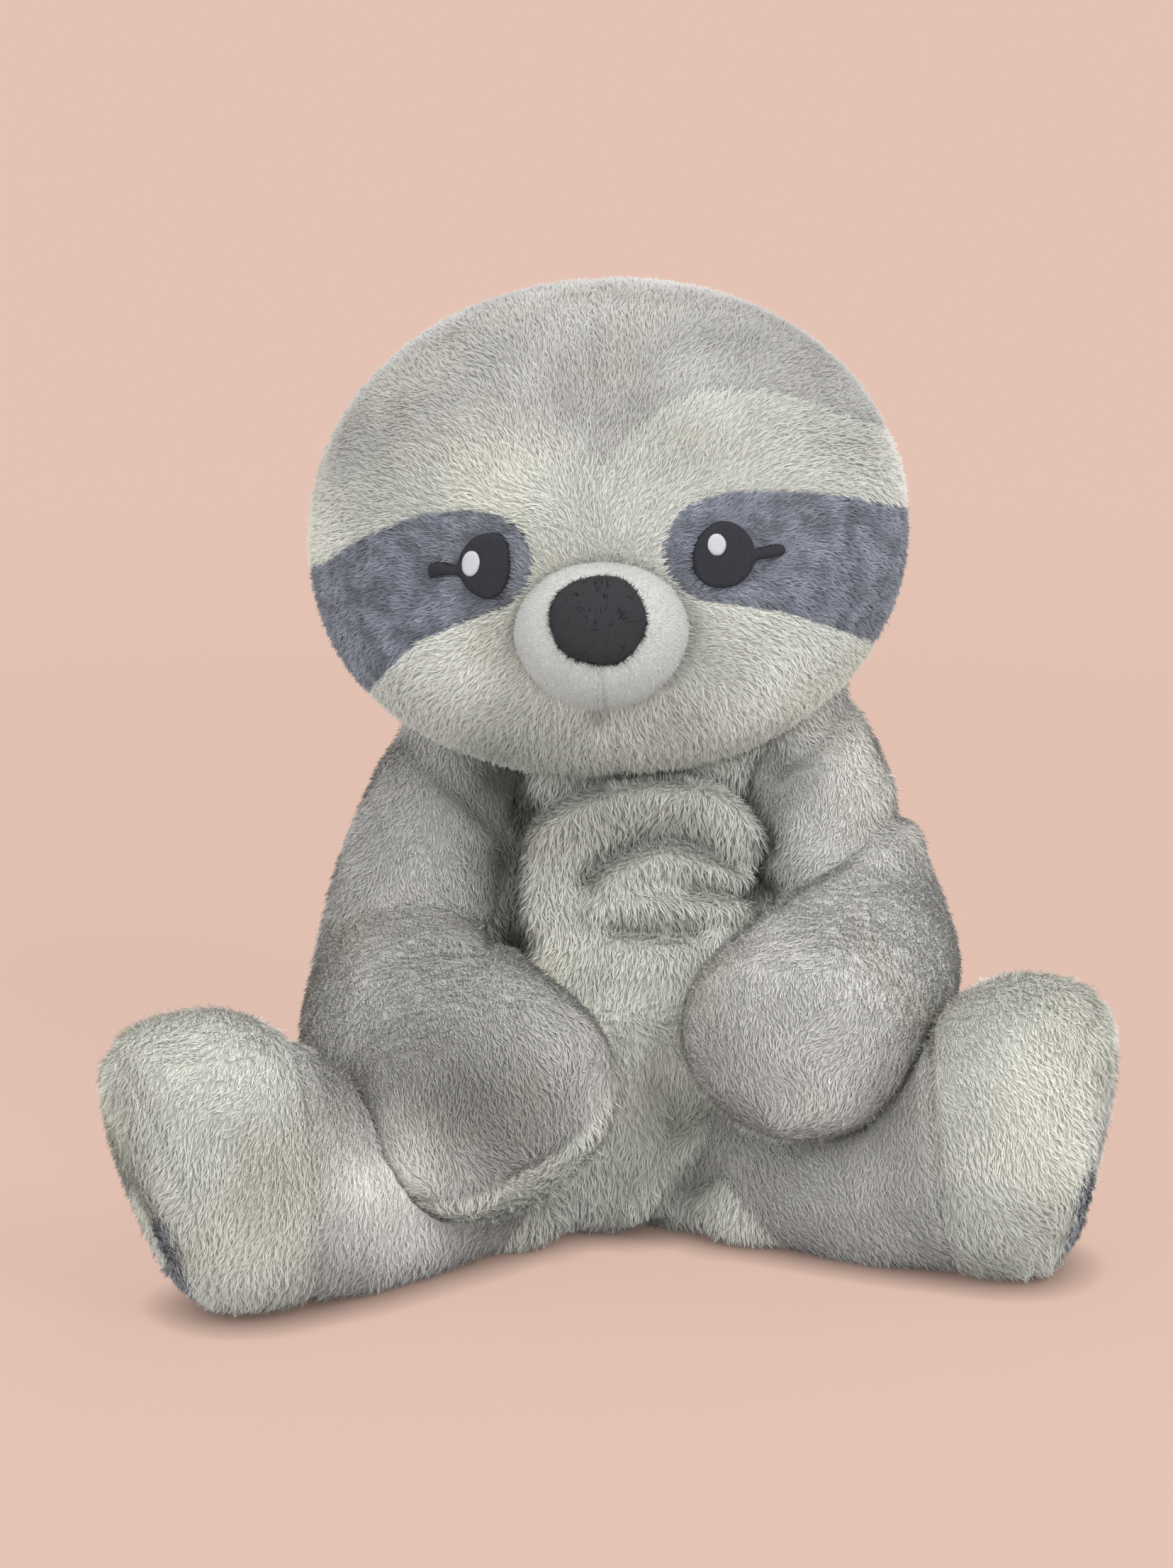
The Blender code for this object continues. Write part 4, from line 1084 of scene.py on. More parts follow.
# Folds of the chest, drawn where the photograph shows them: pixels, width and height
CHEST_FOLDS = (
    (((748, 1290), (755, 1205), (820, 1150), (930, 1125), (1010, 1142), (1058, 1200)), 0.0078, 0.0095),
    (((762, 1140), (830, 1108), (930, 1088), (1020, 1104), (1072, 1150)), 0.0052, -0.0065),
    (((830, 1232), (862, 1203), (905, 1184), (960, 1178), (1010, 1196), (1040, 1220)), 0.0045, -0.0095),
    (((860, 1248), (920, 1218), (985, 1226), (1050, 1244)), 0.0050, 0.0055),
    (((975, 1254), (1020, 1258), (1075, 1262)), 0.0032, -0.0060),
    (((845, 1286), (920, 1278), (1000, 1284), (1060, 1280)), 0.0048, 0.0050),
    (((868, 1308), (925, 1314), (985, 1310)), 0.0040, -0.0075),
    (((880, 1352), (950, 1352), (1010, 1340)), 0.0120, 0.0045),
    (((690, 1070), (700, 1150), (704, 1240), (700, 1340)), 0.0100, -0.0120),
    (((722, 1090), (736, 1170), (738, 1250), (728, 1330)), 0.0055, -0.0070),
    (((1088, 1085), (1080, 1170), (1070, 1270)), 0.0052, -0.0130),
    (((1075, 1560), (1000, 1640), (905, 1738)), 0.0050, -0.0080),
    (((1050, 1545), (960, 1620), (890, 1700)), 0.0060, 0.0040),
    (((930, 1525), (960, 1560), (950, 1620)), 0.0060, -0.0040),
)


def make_torso(sizes, colours):
    torso = puffed(fused(torso_form("torso_plush")), most=0.005)
    torso = creased(refined(torso), CHEST_FOLDS)
    on_floor(torso)
    places = coordinates(torso)
    back_seam = furrow(places[:, 0], SEAM_WIDTH) * (places[:, 1] > 0)
    side_seam = furrow(places[:, 1] - SIDE_SEAM_Y, SEAM_WIDTH)
    pressed(torso, -sizes.seam_depth * np.maximum(back_seam, side_seam))
    light_by = SIDE_SEAM_Y - places[:, 1]
    patch_by = np.full(len(places), -FAR)
    lengths = pile_lengths(sizes, light_by, patch_by)
    arms, legs = ("left_arm", "right_arm"), ("left_leg", "right_leg")
    in_arms = (shown_share(torso, arms, LIMB_DEPTH) == 0) & (places[:, 2] > PAW_TOP)
    # Under a paw the leg is dented, and bares the lap when the paw lifts
    in_legs = (shown_share(torso, legs, LIMB_DEPTH) == 0) & (shown_share(torso, arms, 0.0) == 1)
    cover = shown_share(torso, ("head",)) * ~(in_arms | in_legs)
    cover *= places[:, 2] > FLOOR_GAP
    plush_marks(torso, light_by, patch_by, lengths, cover, np.tile((0.0, -0.25, -1.0), (len(places), 1)))
    torso.data.materials.append(cloth_finish(colours))
    grow_pile(torso, 11, pile_finish(colours))
    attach(torso, "torso")
    hand_over(("belly_panel", "back_panel", "torso_filling", "seat_bead_pouch"))


# Left of the crown's peak in the picture its edge is brushed out
CROWN_PEAK = 900
CROWN_FADE = 0.95
# The fuller cheek, on the head's own right
CHEEK = (-0.092, -0.005, -0.042)
CHEEK_REACH = 0.048
CHEEK_FULLNESS = 0.0030
# Length of the pile on the face and the feet beside the chest's
FACE_PILE = 0.80
FOOT_PILE = 0.80
HEAD_SEAM_WIDTH = 0.0022
# In the head's own heights, where the crown's seam starts and the chin's ends
CROWN_SEAM = 0.040
CHIN_SEAM = -0.048
# How deep the head's seams are: down the crown, down the chin, at the side, and round dark and light cloth
HEAD_SEAMS = (0.55, 0.6, 0.12, 0.35, 0.3)


def make_head(sizes, colours):
    head = refined(puffed(head_form("head_plush"), growth=0.006, most=0.0012))
    from_cheek = np.linalg.norm(head_places(coordinates(head)) - np.array(CHEEK), axis=1)
    pressed(head, CHEEK_FULLNESS * furrow(from_cheek, CHEEK_REACH))
    places = coordinates(head)
    own = head_places(places)
    pixels = in_picture(places)
    front = HEAD_SEAM_SETBACK - own[:, 1]
    patch_by = np.maximum(*(depth_inside(pixels, PATCH_OUTLINES[side]) * PIXEL for side in SIDES))
    patch_by = np.minimum(patch_by, front)
    crown_by = depth_inside(pixels, CROWN_OUTLINE) * PIXEL
    light_by = np.minimum(-crown_by, front)
    light_by *= 1 - CROWN_FADE * np.clip((CROWN_PEAK - pixels[:, 0]) / 80, 0, 1) * (own[:, 1] < 0)
    middle = furrow(own[:, 0], HEAD_SEAM_WIDTH)
    seams = (
        middle * (own[:, 2] > CROWN_SEAM),
        middle * (own[:, 2] < CHIN_SEAM) * (own[:, 1] < 0),
        furrow(front, HEAD_SEAM_WIDTH),
        furrow(patch_by, 0.0014) * (front > 0),
        furrow(light_by, 0.002),
    )
    depth = np.maximum.reduce([share * seam for share, seam in zip(HEAD_SEAMS, seams)])
    pressed(head, -sizes.seam_depth * depth)
    lengths = pile_lengths(sizes, light_by, patch_by)
    crown_soft = np.clip((own[:, 2] - 0.045) / 0.03, 0, 1)
    lengths = np.where(light_by > 0, lengths * (FACE_PILE - 0.15 * crown_soft), lengths)
    muzzle = np.hypot(own[:, 0] / MUZZLE_HALVES.x, (own[:, 2] + MUZZLE_DROP) / MUZZLE_HALVES.z)
    cover = shown_share(head, ("torso",))
    cover *= ~((muzzle < 0.93) & (own[:, 1] < 0))
    # Painted shade round the muzzle's rim: a depth for the shade only, with no fold pressed
    mark(head, "fold", -FULL_SHADE_DEPTH * furrow(muzzle - 1.0, 0.07) * (own[:, 1] < 0))
    for outline in EYE_OUTLINES.values():
        cover *= ~((depth_inside(pixels, outline) > -3) & (own[:, 1] < 0))
    reach = np.hypot(own[:, 0] / HEAD_HALVES.x, own[:, 2] / HEAD_HALVES.z)
    rear = np.clip((reach - 0.55) / 0.4 + (own[:, 1] > 0), 0, 1)[:, None]
    radial = np.column_stack((own[:, 0], np.full(len(own), 0.004), own[:, 2] + 0.010))
    radial /= np.linalg.norm(radial, axis=1, keepdims=True)
    way = ((1 - rear) * radial + rear * np.array((0.0, 0.85, -0.5))) @ np.array(HEAD_TURN).T
    plush_marks(head, light_by, patch_by, lengths, cover, way)
    head.data.materials.append(cloth_finish(colours))
    grow_pile(head, 23, pile_finish(colours), density=1.15, width=0.85, clump=0.8)
    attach(head, "head")
    nodes = ("face_panel", "head_back_panel", "head_filling", "left_eye_patch", "right_eye_patch")
    hand_over(nodes)


# The eyes' and glints' outlines in the photograph's pixels
EYE_OUTLINES = {
    "right": (
        (688, 752), (703, 752), (713, 760), (719, 778), (720, 800), (717, 820), (708, 836), (692, 843),
        (676, 838), (661, 826), (652, 812), (640, 809), (624, 810), (612, 814), (609, 804), (612, 794),
        (626, 793), (642, 797), (650, 792), (653, 782), (660, 770), (673, 757),
    ),
    "left": (
        (1018, 735), (1034, 738), (1048, 748), (1058, 762), (1062, 773), (1075, 772), (1088, 768), (1100, 768),
        (1104, 776), (1098, 783), (1080, 786), (1066, 788), (1060, 796), (1055, 806), (1044, 818), (1028, 826),
        (1010, 827), (993, 822), (981, 810), (977, 795), (978, 775), (986, 757), (1000, 742),
    ),
}
# Each glint's middle, half width, half height and lean in degrees
GLINTS = {"right": ((669, 793), 12.6, 18.0, 8.0), "left": ((1008, 767), 13.0, 15.5, -4.0)}
GLINT_STEPS = 28
NOSE_OUTLINE = (
    (814, 822), (844, 815), (880, 820), (901, 843), (911, 870), (904, 904), (880, 931), (853, 938),
    (820, 932), (793, 917), (779, 890), (777, 860), (790, 837),
)
MOUTH_OUTLINE = ((842.6, 946), (844.6, 946), (845.4, 975), (846.0, 996), (844.0, 1002), (841.8, 996), (843.2, 975))
MOUTH_THREAD = (0.20, 0.20, 0.19)


def closed_curve(outline, steps=4):
    """A smooth closed line of pixels through an outline's corners."""
    corners = list(outline)
    rows = between([corners[-1], *corners, corners[0], corners[1]], steps)
    return rows[steps : -steps - 1]


def raised_patch(name, tree, outline, height_at, spacing, finish, lift):
    """A patch cut to an outline in the photograph's pixels, laid on a surface and raised by its own relief."""
    edge = [Vector(point) for point in outline]
    low, high = np.min(outline, axis=0), np.max(outline, axis=0)
    columns, rows = (np.arange(low[axis], high[axis], spacing) for axis in (0, 1))
    grid = np.array([(x, y) for x in columns for y in rows])
    inner = grid[depth_inside(grid, outline) > 0.4 * spacing]
    count = len(edge)
    corners = edge + [Vector(point) for point in inner]
    loop = [(step, (step + 1) % count) for step in range(count)]
    flat, _, triangles, *_ = delaunay_2d_cdt(corners, loop, [list(range(count))], 1, 1e-6)
    depths = depth_inside(np.array([tuple(point) for point in flat]), outline) * PIXEL
    tops, bottoms = [], []
    for point, depth in zip(flat, depths):
        place, normal = seen_at(tree, *point)
        tops.append(place + normal * (lift + height_at(max(depth, 0.0))))
        bottoms.append(place - normal * 0.0006)
    faces = []
    shift = len(tops)
    first, second, third = (tops[corner] for corner in triangles[0])
    flip = (second - first).cross(third - first).dot(camera_axes()[3]) < 0
    edges = {}
    for triangle in triangles:
        top = tuple(reversed(triangle)) if flip else tuple(triangle)
        faces.append(top)
        faces.append(tuple(shift + index for index in reversed(top)))
        for start, end in zip(top, top[1:] + top[:1]):
            if (end, start) in edges:
                del edges[(end, start)]
            else:
                edges[(start, end)] = True
    for start, end in edges:
        faces.append((end, start, shift + start, shift + end))
    patch = mesh_object(name, tops + bottoms, faces, finish)
    patch.data.shade_smooth()
    return patch


def crown_of(height, rim):
    """A relief that rises from the rim to a height and stays there."""
    return lambda depth: height * math.sqrt(max(0.0, 1 - (1 - min(depth / rim, 1.0)) ** 2))


def make_eyes(colours):
    thread = plain_finish("eye_embroidery", colours.eye, 0.75, 900.0, 0.0004, (3.0, 1.0, 0.35), 0.7, dull=True)
    white = plain_finish("glint_thread", colours.glint, 0.6, 1500.0, 0.0002, (2.0, 1.0, 0.3))
    ground = head_form()
    base = surface_tree(ground)
    remove(ground)
    for side in SIDES:
        outline = closed_curve(EYE_OUTLINES[side], 3)
        eye = raised_patch(side + "_eye_stitched", base, outline, crown_of(0.0009, 0.0012), 4.0, thread, 0.0024)
        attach(eye, "head")
        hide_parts(side + "_eye")
        (x, y), wide, high, lean = GLINTS[side]
        turn = math.radians(lean)
        oval = []
        for step in range(GLINT_STEPS):
            angle = 2 * math.pi * step / GLINT_STEPS
            a, b = wide * math.cos(angle), high * math.sin(angle)
            oval.append((x + a * math.cos(turn) - b * math.sin(turn), y + a * math.sin(turn) + b * math.cos(turn)))
        domed = crown_of(0.0006, 0.0010)
        glint = raised_patch(side + "_glint_stitched", base, np.array(oval), domed, 3.0, white, 0.0032)
        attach(glint, "head")
        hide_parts(side + "_eye_glint")


def make_muzzle(sizes, colours):
    front = HEAD_TURN @ Vector((0, -1, 0))
    upward = HEAD_TURN @ Vector((0, 0, 1))
    lean = math.sqrt(1 - (MUZZLE_DROP / HEAD_HALVES.z) ** 2)
    middle = HEAD_CENTRE + front * (HEAD_HALVES.y * lean) - upward * MUZZLE_DROP
    middle += HEAD_TURN @ Vector((MUZZLE_ASIDE, 0, 0))
    muzzle = rounded("muzzle_plush", middle, MUZZLE_HALVES, HEAD_TURN, 2.1, 6)
    own = (coordinates(muzzle) - np.array(middle)) @ np.array(HEAD_TURN)
    own[:, 0] *= 1 - MUZZLE_TAPER * np.clip(-own[:, 2] / MUZZLE_HALVES.z, 0, 1)
    places = own @ np.array(HEAD_TURN).T + np.array(middle)
    move_points(muzzle, places)
    muzzle_tree = surface_tree(muzzle)
    seam = furrow(own[:, 0] - MUZZLE_SEAM_ASIDE, 0.0009) * np.clip(-own[:, 2] / MUZZLE_HALVES.z, 0, 1)
    pressed(muzzle, -0.0016 * seam)
    mark(muzzle, "pile", np.full(len(places), sizes.muzzle_pile))
    pixels = in_picture(places)
    shown = (own[:, 1] < 0.012) & ~((depth_inside(pixels, NOSE_OUTLINE) > 3) & (own[:, 1] < 0))
    shown &= seam < 0.45
    mark(muzzle, "cover", shown.astype(float))
    away = np.column_stack((own[:, 0], np.full(len(own), 0.02), own[:, 2]))
    mark(muzzle, "lay", combed(muzzle, away @ np.array(HEAD_TURN).T))
    mark(muzzle, "outward", normals(muzzle))
    muzzle.data.shade_smooth()
    finish = single_colour_pile("muzzle_pile", colours.muzzle, 0.12)
    muzzle.data.materials.append(plain_finish("muzzle_cloth", colours.muzzle, 0.9, 1500.0, 0.0003))
    grow_pile(muzzle, 31, finish, density=2.2, width=0.45, clump=0.5, rise=0.5, lean=0.7)
    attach(muzzle, "head")
    hand_over(("muzzle",))
    make_nose(muzzle_tree, sizes, colours)
    make_mouth(muzzle_tree)


def make_nose(ground, sizes, colours):
    velvet = plain_finish("nose_velvet", colours.nose, 0.9, 1800.0, 0.0003, spread=0.6, dull=True)
    outline = closed_curve(NOSE_OUTLINE, 3)
    nose = raised_patch("nose_plush", ground, outline, crown_of(0.0050, 0.0150), 4.0, velvet, 0.0004)
    places = coordinates(nose)
    mark(nose, "pile", np.full(len(places), sizes.nose_pile))
    mark(nose, "cover", np.ones(len(places)))
    spread = places - places.mean(0) + np.array(HEAD_TURN @ Vector((0, -1, 0))) * 0.002
    mark(nose, "lay", combed(nose, spread))
    mark(nose, "outward", normals(nose))
    finish = single_colour_pile("nose_pile", colours.nose, 1.0, dull=True)
    grow_pile(nose, 37, finish, density=2.4, width=0.6, clump=0.8, rise=0.55, lean=0.8, stray=0.5)
    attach(nose, "head")
    hand_over(("nose",))


def make_mouth(ground):
    thread = plain_finish("mouth_thread", MOUTH_THREAD, 0.9, 1500.0, 0.0002)
    outline, domed = np.array(MOUTH_OUTLINE), crown_of(0.0002, 0.0003)
    stitch = raised_patch("mouth_stitched", ground, outline, domed, 1.0, thread, -0.0002)
    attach(stitch, "head")
    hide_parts("mouth_stitch")


def make_neck(colours):
    neck = rounded("neck_wad", NECK, Vector((NECK_RADIUS,) * 3), Matrix.Identity(3), cuts=4)
    neck.data.materials.append(plain_finish("wadding", colours.wadding, 0.95, 300.0, 0.002))
    neck.data.shade_smooth()
    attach(neck, "neck")
    hand_over(("neck_filling",))


# Folds of the arms in the photograph's pixels: lines, width and height
ARM_FOLDS = {
    "left": (
        (((1078, 1270), (1130, 1235), (1200, 1195), (1270, 1150), (1300, 1128)), 0.0045, -0.0050),
        (((1090, 1305), (1160, 1260), (1240, 1205), (1310, 1170)), 0.0080, 0.0030),
        (((1095, 1080), (1130, 1060), (1180, 1010), (1215, 975)), 0.0040, -0.0045),
        (((1110, 1160), (1170, 1100), (1215, 1040)), 0.0060, 0.0030),
    ),
    "right": (
        (((560, 1040), (620, 1090), (690, 1150), (720, 1230)), 0.0045, -0.0040),
        (((722, 1310), (690, 1330), (640, 1340)), 0.0045, -0.0040),
    ),
}


def make_arm(side, sizes, colours):
    arm = puffed(fused(arm_form(side, side + "_arm_plush")), most=0.004)
    arm = refined(creased(arm, ARM_FOLDS[side]))
    places = coordinates(arm)
    forearm = (PAWS[side] - ELBOWS[side]).normalized()
    upper = (ELBOWS[side] - SHOULDERS[side]).normalized()
    down = PALMS[side] - forearm * PALMS[side].dot(forearm)
    down.normalize()
    along = (places - np.array(PAWS[side])) @ np.array(forearm)
    light_by = np.minimum((normals(arm) @ np.array(down) - PALM_EDGE[side]) * PALM_HALF, along + PALM_HALF)
    patch_by = np.full(len(places), -FAR)
    pressed(arm, -0.3 * sizes.seam_depth * furrow(light_by, 0.0018))
    lengths = pile_lengths(sizes, light_by, patch_by)
    share = np.clip(((places - np.array(ELBOWS[side])) @ np.array(forearm)) / 0.03 + 0.5, 0, 1)[:, None]
    way = (1 - share) * np.array(upper) + share * np.array(forearm)
    cover = shown_share(arm, ("head", "torso"), LIMB_DEPTH)
    plush_marks(arm, light_by, patch_by, lengths, cover, way + np.array((0, 0, -0.35)), PALM_TONE)
    arm.data.materials.append(cloth_finish(colours))
    grow_pile(arm, 41 + SIDES[side], pile_finish(colours))
    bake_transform(arm)
    parts = ("upper_arm_cover", "upper_arm_filling", "forearm_cover", "forearm_filling", "palm", "paw_bead_pouch")
    hand_over([f"{side}_{part}" for part in parts])


PAW_ROOM = 0.0012


def make_leg(side, sizes, colours):
    leg = fused(leg_form(side, side + "_leg_plush"))
    room = fused(arm_form(side, "paw_room", PAW_ROOM))
    dent = leg.modifiers.new("under the paw", "BOOLEAN")
    dent.operation = "DIFFERENCE"
    dent.object = room
    dent.solver = "EXACT"
    applied(leg)
    remove(room)
    leg = refined(puffed(fused(leg, rounds=8), most=0.004))
    on_floor(leg)
    places = coordinates(leg)
    sole_way = Vector(SOLES[side][1]).normalized()
    sole_middle = Vector(SOLES[side][0]) + sole_way * 0.001
    beyond = (places - np.array(sole_middle)) @ np.array(sole_way)
    light_by = beyond + FOOT_PANEL_LENGTH + FOOT_PANEL_SLANT * (places[:, 2] - 0.5 * LEG_HEIGHT)
    patch_by = np.full(len(places), -FAR)
    sole_seam = furrow(beyond + 0.006, 0.0018)
    pressed(leg, -sizes.seam_depth * np.maximum(0.8 * furrow(light_by, 0.002), 0.5 * sole_seam))
    lengths = pile_lengths(sizes, light_by, patch_by)
    lengths = np.where(light_by > 0, lengths * FOOT_PILE, lengths)
    cover = shown_share(leg, ("torso",), LIMB_DEPTH)
    cover *= places[:, 2] > FLOOR_GAP
    thigh = Vector(LEGS[side][2][1])
    plush_marks(leg, light_by, patch_by, lengths, cover, np.tile((*thigh.xy * 0.6, -0.8), (len(places), 1)))
    leg.data.materials.append(cloth_finish(colours))
    tree = surface_tree(leg)
    grow_pile(leg, 51 + SIDES[side], pile_finish(colours), density=1.15, width=0.85, clump=0.8)
    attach(leg, side + "_leg")
    parts = ("leg_cover", "foot_panel", "sole", "leg_filling", "foot_bead_pouch")
    hand_over([f"{side}_{part}" for part in parts])
    make_sole_pads(side, sizes, colours, tree, sole_middle, sole_way)


# The pads' places round the sole in degrees, and how far out they lie
SOLE_PAD_TURNS = (-18.0, -60.0, -102.0)
SOLE_PAD_SHARE = 0.63
SOLE_PAD_HALVES = (0.0105, 0.0065)
SOLE_PAD_HEIGHT = 0.0012
SOLE_HALVES = (0.0363, 0.0489)
PAD_RINGS = 6
PAD_STEPS = 24


def make_sole_pads(side, sizes, colours, tree, middle, sole_way):
    """Small dark ovals of plush on the sole."""
    across = sole_way.cross(Vector((0, 0, SIDES[side]))).normalized()
    upward = (Vector((0, 0, 1)) - sole_way * sole_way.z).normalized()
    for number, degrees in enumerate(SOLE_PAD_TURNS, start=1):
        angle = math.radians(degrees)
        out = across * math.cos(angle) + upward * math.sin(angle)
        place = middle + across * (SOLE_PAD_SHARE * SOLE_HALVES[0] * math.cos(angle))
        place = place + upward * (SOLE_PAD_SHARE * SOLE_HALVES[1] * math.sin(angle))
        tangent = sole_way.cross(out)
        points = []
        for ring in range(PAD_RINGS, -1, -1):
            share = ring / PAD_RINGS
            for step in range(PAD_STEPS):
                turn = 2 * math.pi * step / PAD_STEPS
                flat = place + tangent * (SOLE_PAD_HALVES[0] * share * math.cos(turn))
                flat = flat + out * (SOLE_PAD_HALVES[1] * share * math.sin(turn))
                hit, normal, _, _ = tree.ray_cast(flat + sole_way * 0.03, -sole_way)
                if hit is None:
                    hit, normal = flat, sole_way
                points.append(hit + normal * (SOLE_PAD_HEIGHT * math.sqrt(max(0.0, 1 - share**4))))
        faces = []
        for ring in range(PAD_RINGS):
            for step in range(PAD_STEPS):
                after = (step + 1) % PAD_STEPS
                low, high = ring * PAD_STEPS, (ring + 1) * PAD_STEPS
                faces.append((low + step, low + after, high + after, high + step))
        faces.append(tuple(reversed(range(PAD_STEPS))))
        pad = mesh_object(f"{side}_sole_pad_{number}_plush", points, faces, cloth_finish(colours))
        merge = bmesh.new()
        merge.from_mesh(pad.data)
        bmesh.ops.remove_doubles(merge, verts=merge.verts, dist=1e-6)
        bmesh.ops.recalc_face_normals(merge, faces=merge.faces)
        merge.to_mesh(pad.data)
        merge.free()
        count = len(pad.data.vertices)
        ones = np.ones(count)
        way = np.tile(tuple(out), (count, 1))
        plush_marks(pad, -FAR * ones, FAR * ones, 0.7 * sizes.patch_pile * ones, ones, way)
        grow_pile(pad, 60 + number, pile_finish(colours))
        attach(pad, side + "_leg")
        hand_over((f"{side}_sole_pad_{number}",))


# Stage


# How far the floor near the toy shows its own colour and not its lighting, and its tone in that lighting
BACKDROP_GLOW = 0.80
BACKDROP_SHADE = 0.83
# Painted contact shadow: the dark line where the toy touches the floor
CONTACT_SHADOW_REACH = 0.016
CONTACT_SHADOW_DEPTH = 0.85
# Between these distances the floor's shading fades out
BACKDROP_EVEN = (0.45, 1.5)
BACKDROP_BOUNCE = (0.60, 0.59, 0.58)


def backdrop_finish(colour):
    """The floor: it keeps the toy's shadow near it, with a painted contact shadow in its glow, is even further out, and
    lights as plain pale paper.
    """
    material = bpy.data.materials.new("backdrop")
    tree = empty_tree(material)
    place = tree.node("ShaderNodeTexCoord").out("Object")
    distance = tree.vector("LENGTH", place, output=1)
    lit = tuple(BACKDROP_SHADE * part for part in colour)
    paper = tree.node("ShaderNodeBsdfDiffuse", {}, {"Color": (*lit, 1)}).out()
    # Painted contact shadow: the floor's glow darkens where the toy crowds it
    unshadowed = tree.node("ShaderNodeAmbientOcclusion", {"samples": 16}, {"Distance": CONTACT_SHADOW_REACH}).out("AO")
    level = 1 - CONTACT_SHADOW_DEPTH + CONTACT_SHADOW_DEPTH * unshadowed
    shaded = tree.vector("MULTIPLY", tree.grey(level), colour)
    glow = tree.node("ShaderNodeEmission", {}, {"Color": shaded, "Strength": 1.0}).out()
    pale = tree.node("ShaderNodeBsdfDiffuse", {}, {"Color": (*BACKDROP_BOUNCE, 1)}).out()
    share = BACKDROP_GLOW + (1 - BACKDROP_GLOW) * tree.ramp(distance, *BACKDROP_EVEN)
    even = tree.node("ShaderNodeMixShader", {}, {0: share, 1: paper, 2: glow}).out()
    mixed = tree.node("ShaderNodeMixShader", {}, {0: tree.directly_seen(), 1: pale, 2: even}).out()
    tree.node("ShaderNodeOutputMaterial", {}, {"Surface": mixed})
    return material


FLOOR_HALF = 14
# Each lamp's name, place, size and power
LAMPS = (
    ("key", (0.85, -1.25, 1.30), 0.9, 17.0),
    ("fill", (-1.15, -1.2, 0.85), 1.1, 8.0),
    ("top", (0.1, 0.35, 1.7), 1.0, 4.5),
)
LAMP_TARGET = Vector((0, 0, 0.15))


def aimed(name, data, place, target):
    """A lamp or camera that stands at a place and looks at a target."""
    thing = bpy.data.objects.new(name, data)
    thing.location = place
    thing.rotation_euler = (target - place).to_track_quat("-Z", "Y").to_euler()
    bpy.context.scene.collection.objects.link(thing)
    return thing


def make_stage(colours):
    """A wide floor, soft lamps and the photograph's camera."""
    points = [(x * FLOOR_HALF, y * FLOOR_HALF, 0.0) for x, y in ((-1, -1), (1, -1), (1, 1), (-1, 1))]
    floor = mesh_object("paper_floor", points, [(0, 1, 2, 3)], backdrop_finish(tuple(colours.backdrop)))

    for name, place, size, power in LAMPS:
        light = bpy.data.lights.new(name, "AREA")
        light.shape = "DISK"
        light.size = size
        light.energy = power
        aimed(name, light, Vector(place), LAMP_TARGET)

    world = bpy.data.worlds.new("studio")
    tree = empty_tree(world)
    sky = tree.node("ShaderNodeBackground", {}, {"Color": (1.0, 0.99, 0.975, 1), "Strength": 0.70}).out()
    paper = tree.node("ShaderNodeBackground", {}, {"Color": (*colours.backdrop, 1), "Strength": 1.0}).out()
    mixed = tree.node("ShaderNodeMixShader", {}, {0: tree.directly_seen(), 1: sky, 2: paper}).out()
    tree.node("ShaderNodeOutputWorld", {}, {"Surface": mixed})
    scene = bpy.context.scene
    scene.world = world

    camera = bpy.data.cameras.new("camera")
    camera.lens = CAMERA_LENS
    camera.sensor_width = CAMERA_SENSOR
    scene.camera = aimed("camera", camera, camera_axes()[0], CAMERA_TARGET)
    scene.view_settings.view_transform = "Standard"


# The add-on


class SLOTH_OT_torso(bpy.types.Operator):
    """Makes the torso's cover: light in front, grey behind, with the folds of the chest"""

    bl_idname = "sloth.torso"
    bl_label = "Torso"

    def execute(self, context):
        make_torso(context.scene.sloth_sizes, context.scene.sloth_colours)
        return {"FINISHED"}


class SLOTH_OT_head(bpy.types.Operator):
    """Makes the head's cover with its crown, its seams and the dark patches"""

    bl_idname = "sloth.head"
    bl_label = "Head"

    def execute(self, context):
        make_head(context.scene.sloth_sizes, context.scene.sloth_colours)
        return {"FINISHED"}


class SLOTH_OT_eyes(bpy.types.Operator):
    """Makes the two embroidered eyes and their glints"""

    bl_idname = "sloth.eyes"
    bl_label = "Eyes"

    def execute(self, context):
        make_eyes(context.scene.sloth_colours)
        return {"FINISHED"}


class SLOTH_OT_muzzle(bpy.types.Operator):
    """Makes the muzzle, the nose and the mouth's stitches"""

    bl_idname = "sloth.muzzle"
    bl_label = "Muzzle and nose"

    def execute(self, context):
        make_muzzle(context.scene.sloth_sizes, context.scene.sloth_colours)
        return {"FINISHED"}


class SLOTH_OT_neck(bpy.types.Operator):
    """Makes the wad of filling in the neck"""

    bl_idname = "sloth.neck"
    bl_label = "Neck"

    def execute(self, context):
        make_neck(context.scene.sloth_colours)
        return {"FINISHED"}


class SLOTH_OT_arms(bpy.types.Operator):
    """Makes the two arms, with their light palms"""

    bl_idname = "sloth.arms"
    bl_label = "Arms"

    def execute(self, context):
        for side in SIDES:
            make_arm(side, context.scene.sloth_sizes, context.scene.sloth_colours)
        return {"FINISHED"}


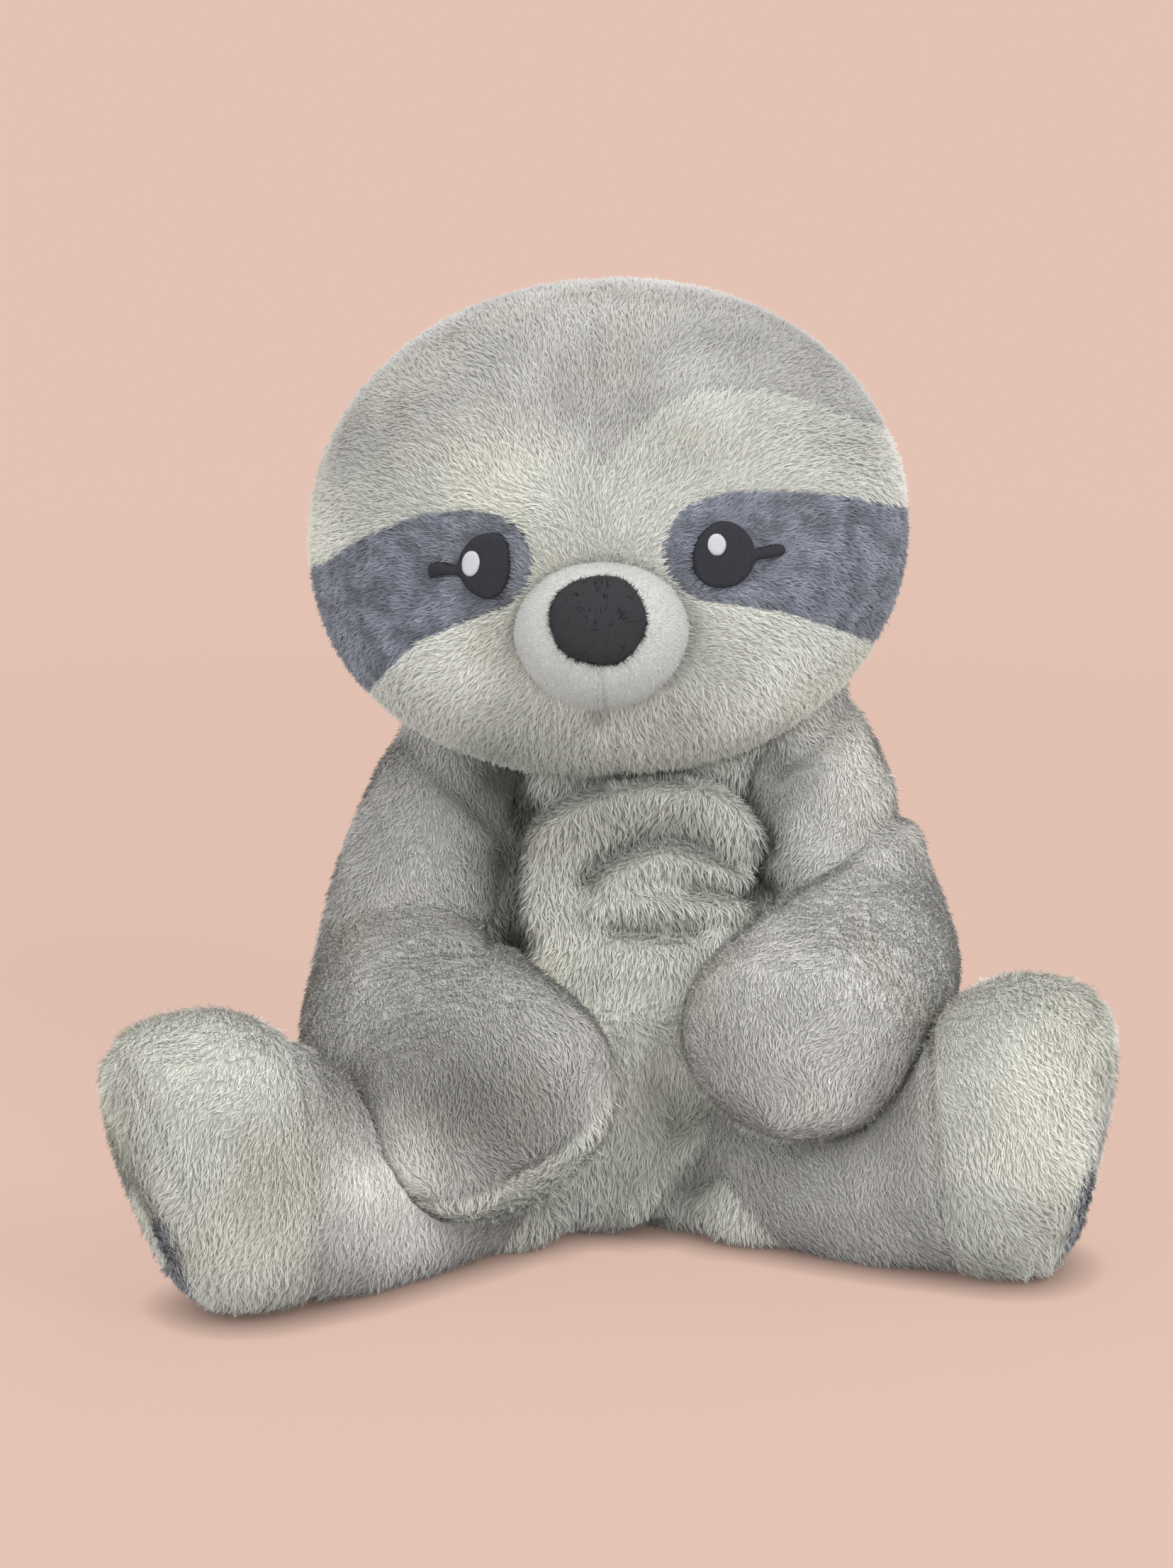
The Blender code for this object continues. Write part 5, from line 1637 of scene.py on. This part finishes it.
class SLOTH_OT_legs(bpy.types.Operator):
    """Makes the two legs, with their light feet and the pads on the soles"""

    bl_idname = "sloth.legs"
    bl_label = "Legs"

    def execute(self, context):
        for side in SIDES:
            make_leg(side, context.scene.sloth_sizes, context.scene.sloth_colours)
        return {"FINISHED"}


class SLOTH_OT_stage(bpy.types.Operator):
    """Makes the paper floor, the lamps and the camera"""

    bl_idname = "sloth.stage"
    bl_label = "Stage"

    def execute(self, context):
        make_stage(context.scene.sloth_colours)
        return {"FINISHED"}


OPERATORS = (
    SLOTH_OT_torso,
    SLOTH_OT_head,
    SLOTH_OT_eyes,
    SLOTH_OT_muzzle,
    SLOTH_OT_neck,
    SLOTH_OT_arms,
    SLOTH_OT_legs,
    SLOTH_OT_stage,
)


class SLOTH_PT_pieces(bpy.types.Panel):
    """Lists the sloth's sizes, colours and pieces"""

    bl_idname = "SLOTH_PT_pieces"
    bl_label = "Plush sloth"
    bl_space_type = "VIEW_3D"
    bl_region_type = "UI"
    bl_category = "Sloth"

    def draw(self, context):
        for group in (context.scene.sloth_sizes, context.scene.sloth_colours):
            column = self.layout.column(align=True)
            for name in group.bl_rna.properties.keys():
                if name not in ("rna_type", "name"):
                    column.prop(group, name)
        column = self.layout.column(align=True)
        for operator in OPERATORS:
            column.operator(operator.bl_idname)


CLASSES = (SlothSizes, SlothColours, *OPERATORS, SLOTH_PT_pieces)


def register():
    for kind in CLASSES:
        bpy.utils.register_class(kind)
    bpy.types.Scene.sloth_sizes = bpy.props.PointerProperty(type=SlothSizes)
    bpy.types.Scene.sloth_colours = bpy.props.PointerProperty(type=SlothColours)


def unregister():
    del bpy.types.Scene.sloth_colours
    del bpy.types.Scene.sloth_sizes
    for kind in reversed(CLASSES):
        bpy.utils.unregister_class(kind)


def main():
    register()
    bpy.ops.sloth.torso()
    bpy.ops.sloth.head()
    bpy.ops.sloth.eyes()
    bpy.ops.sloth.muzzle()
    bpy.ops.sloth.neck()
    bpy.ops.sloth.arms()
    bpy.ops.sloth.legs()
    bpy.ops.sloth.stage()


if __name__ == "__main__":
    main()
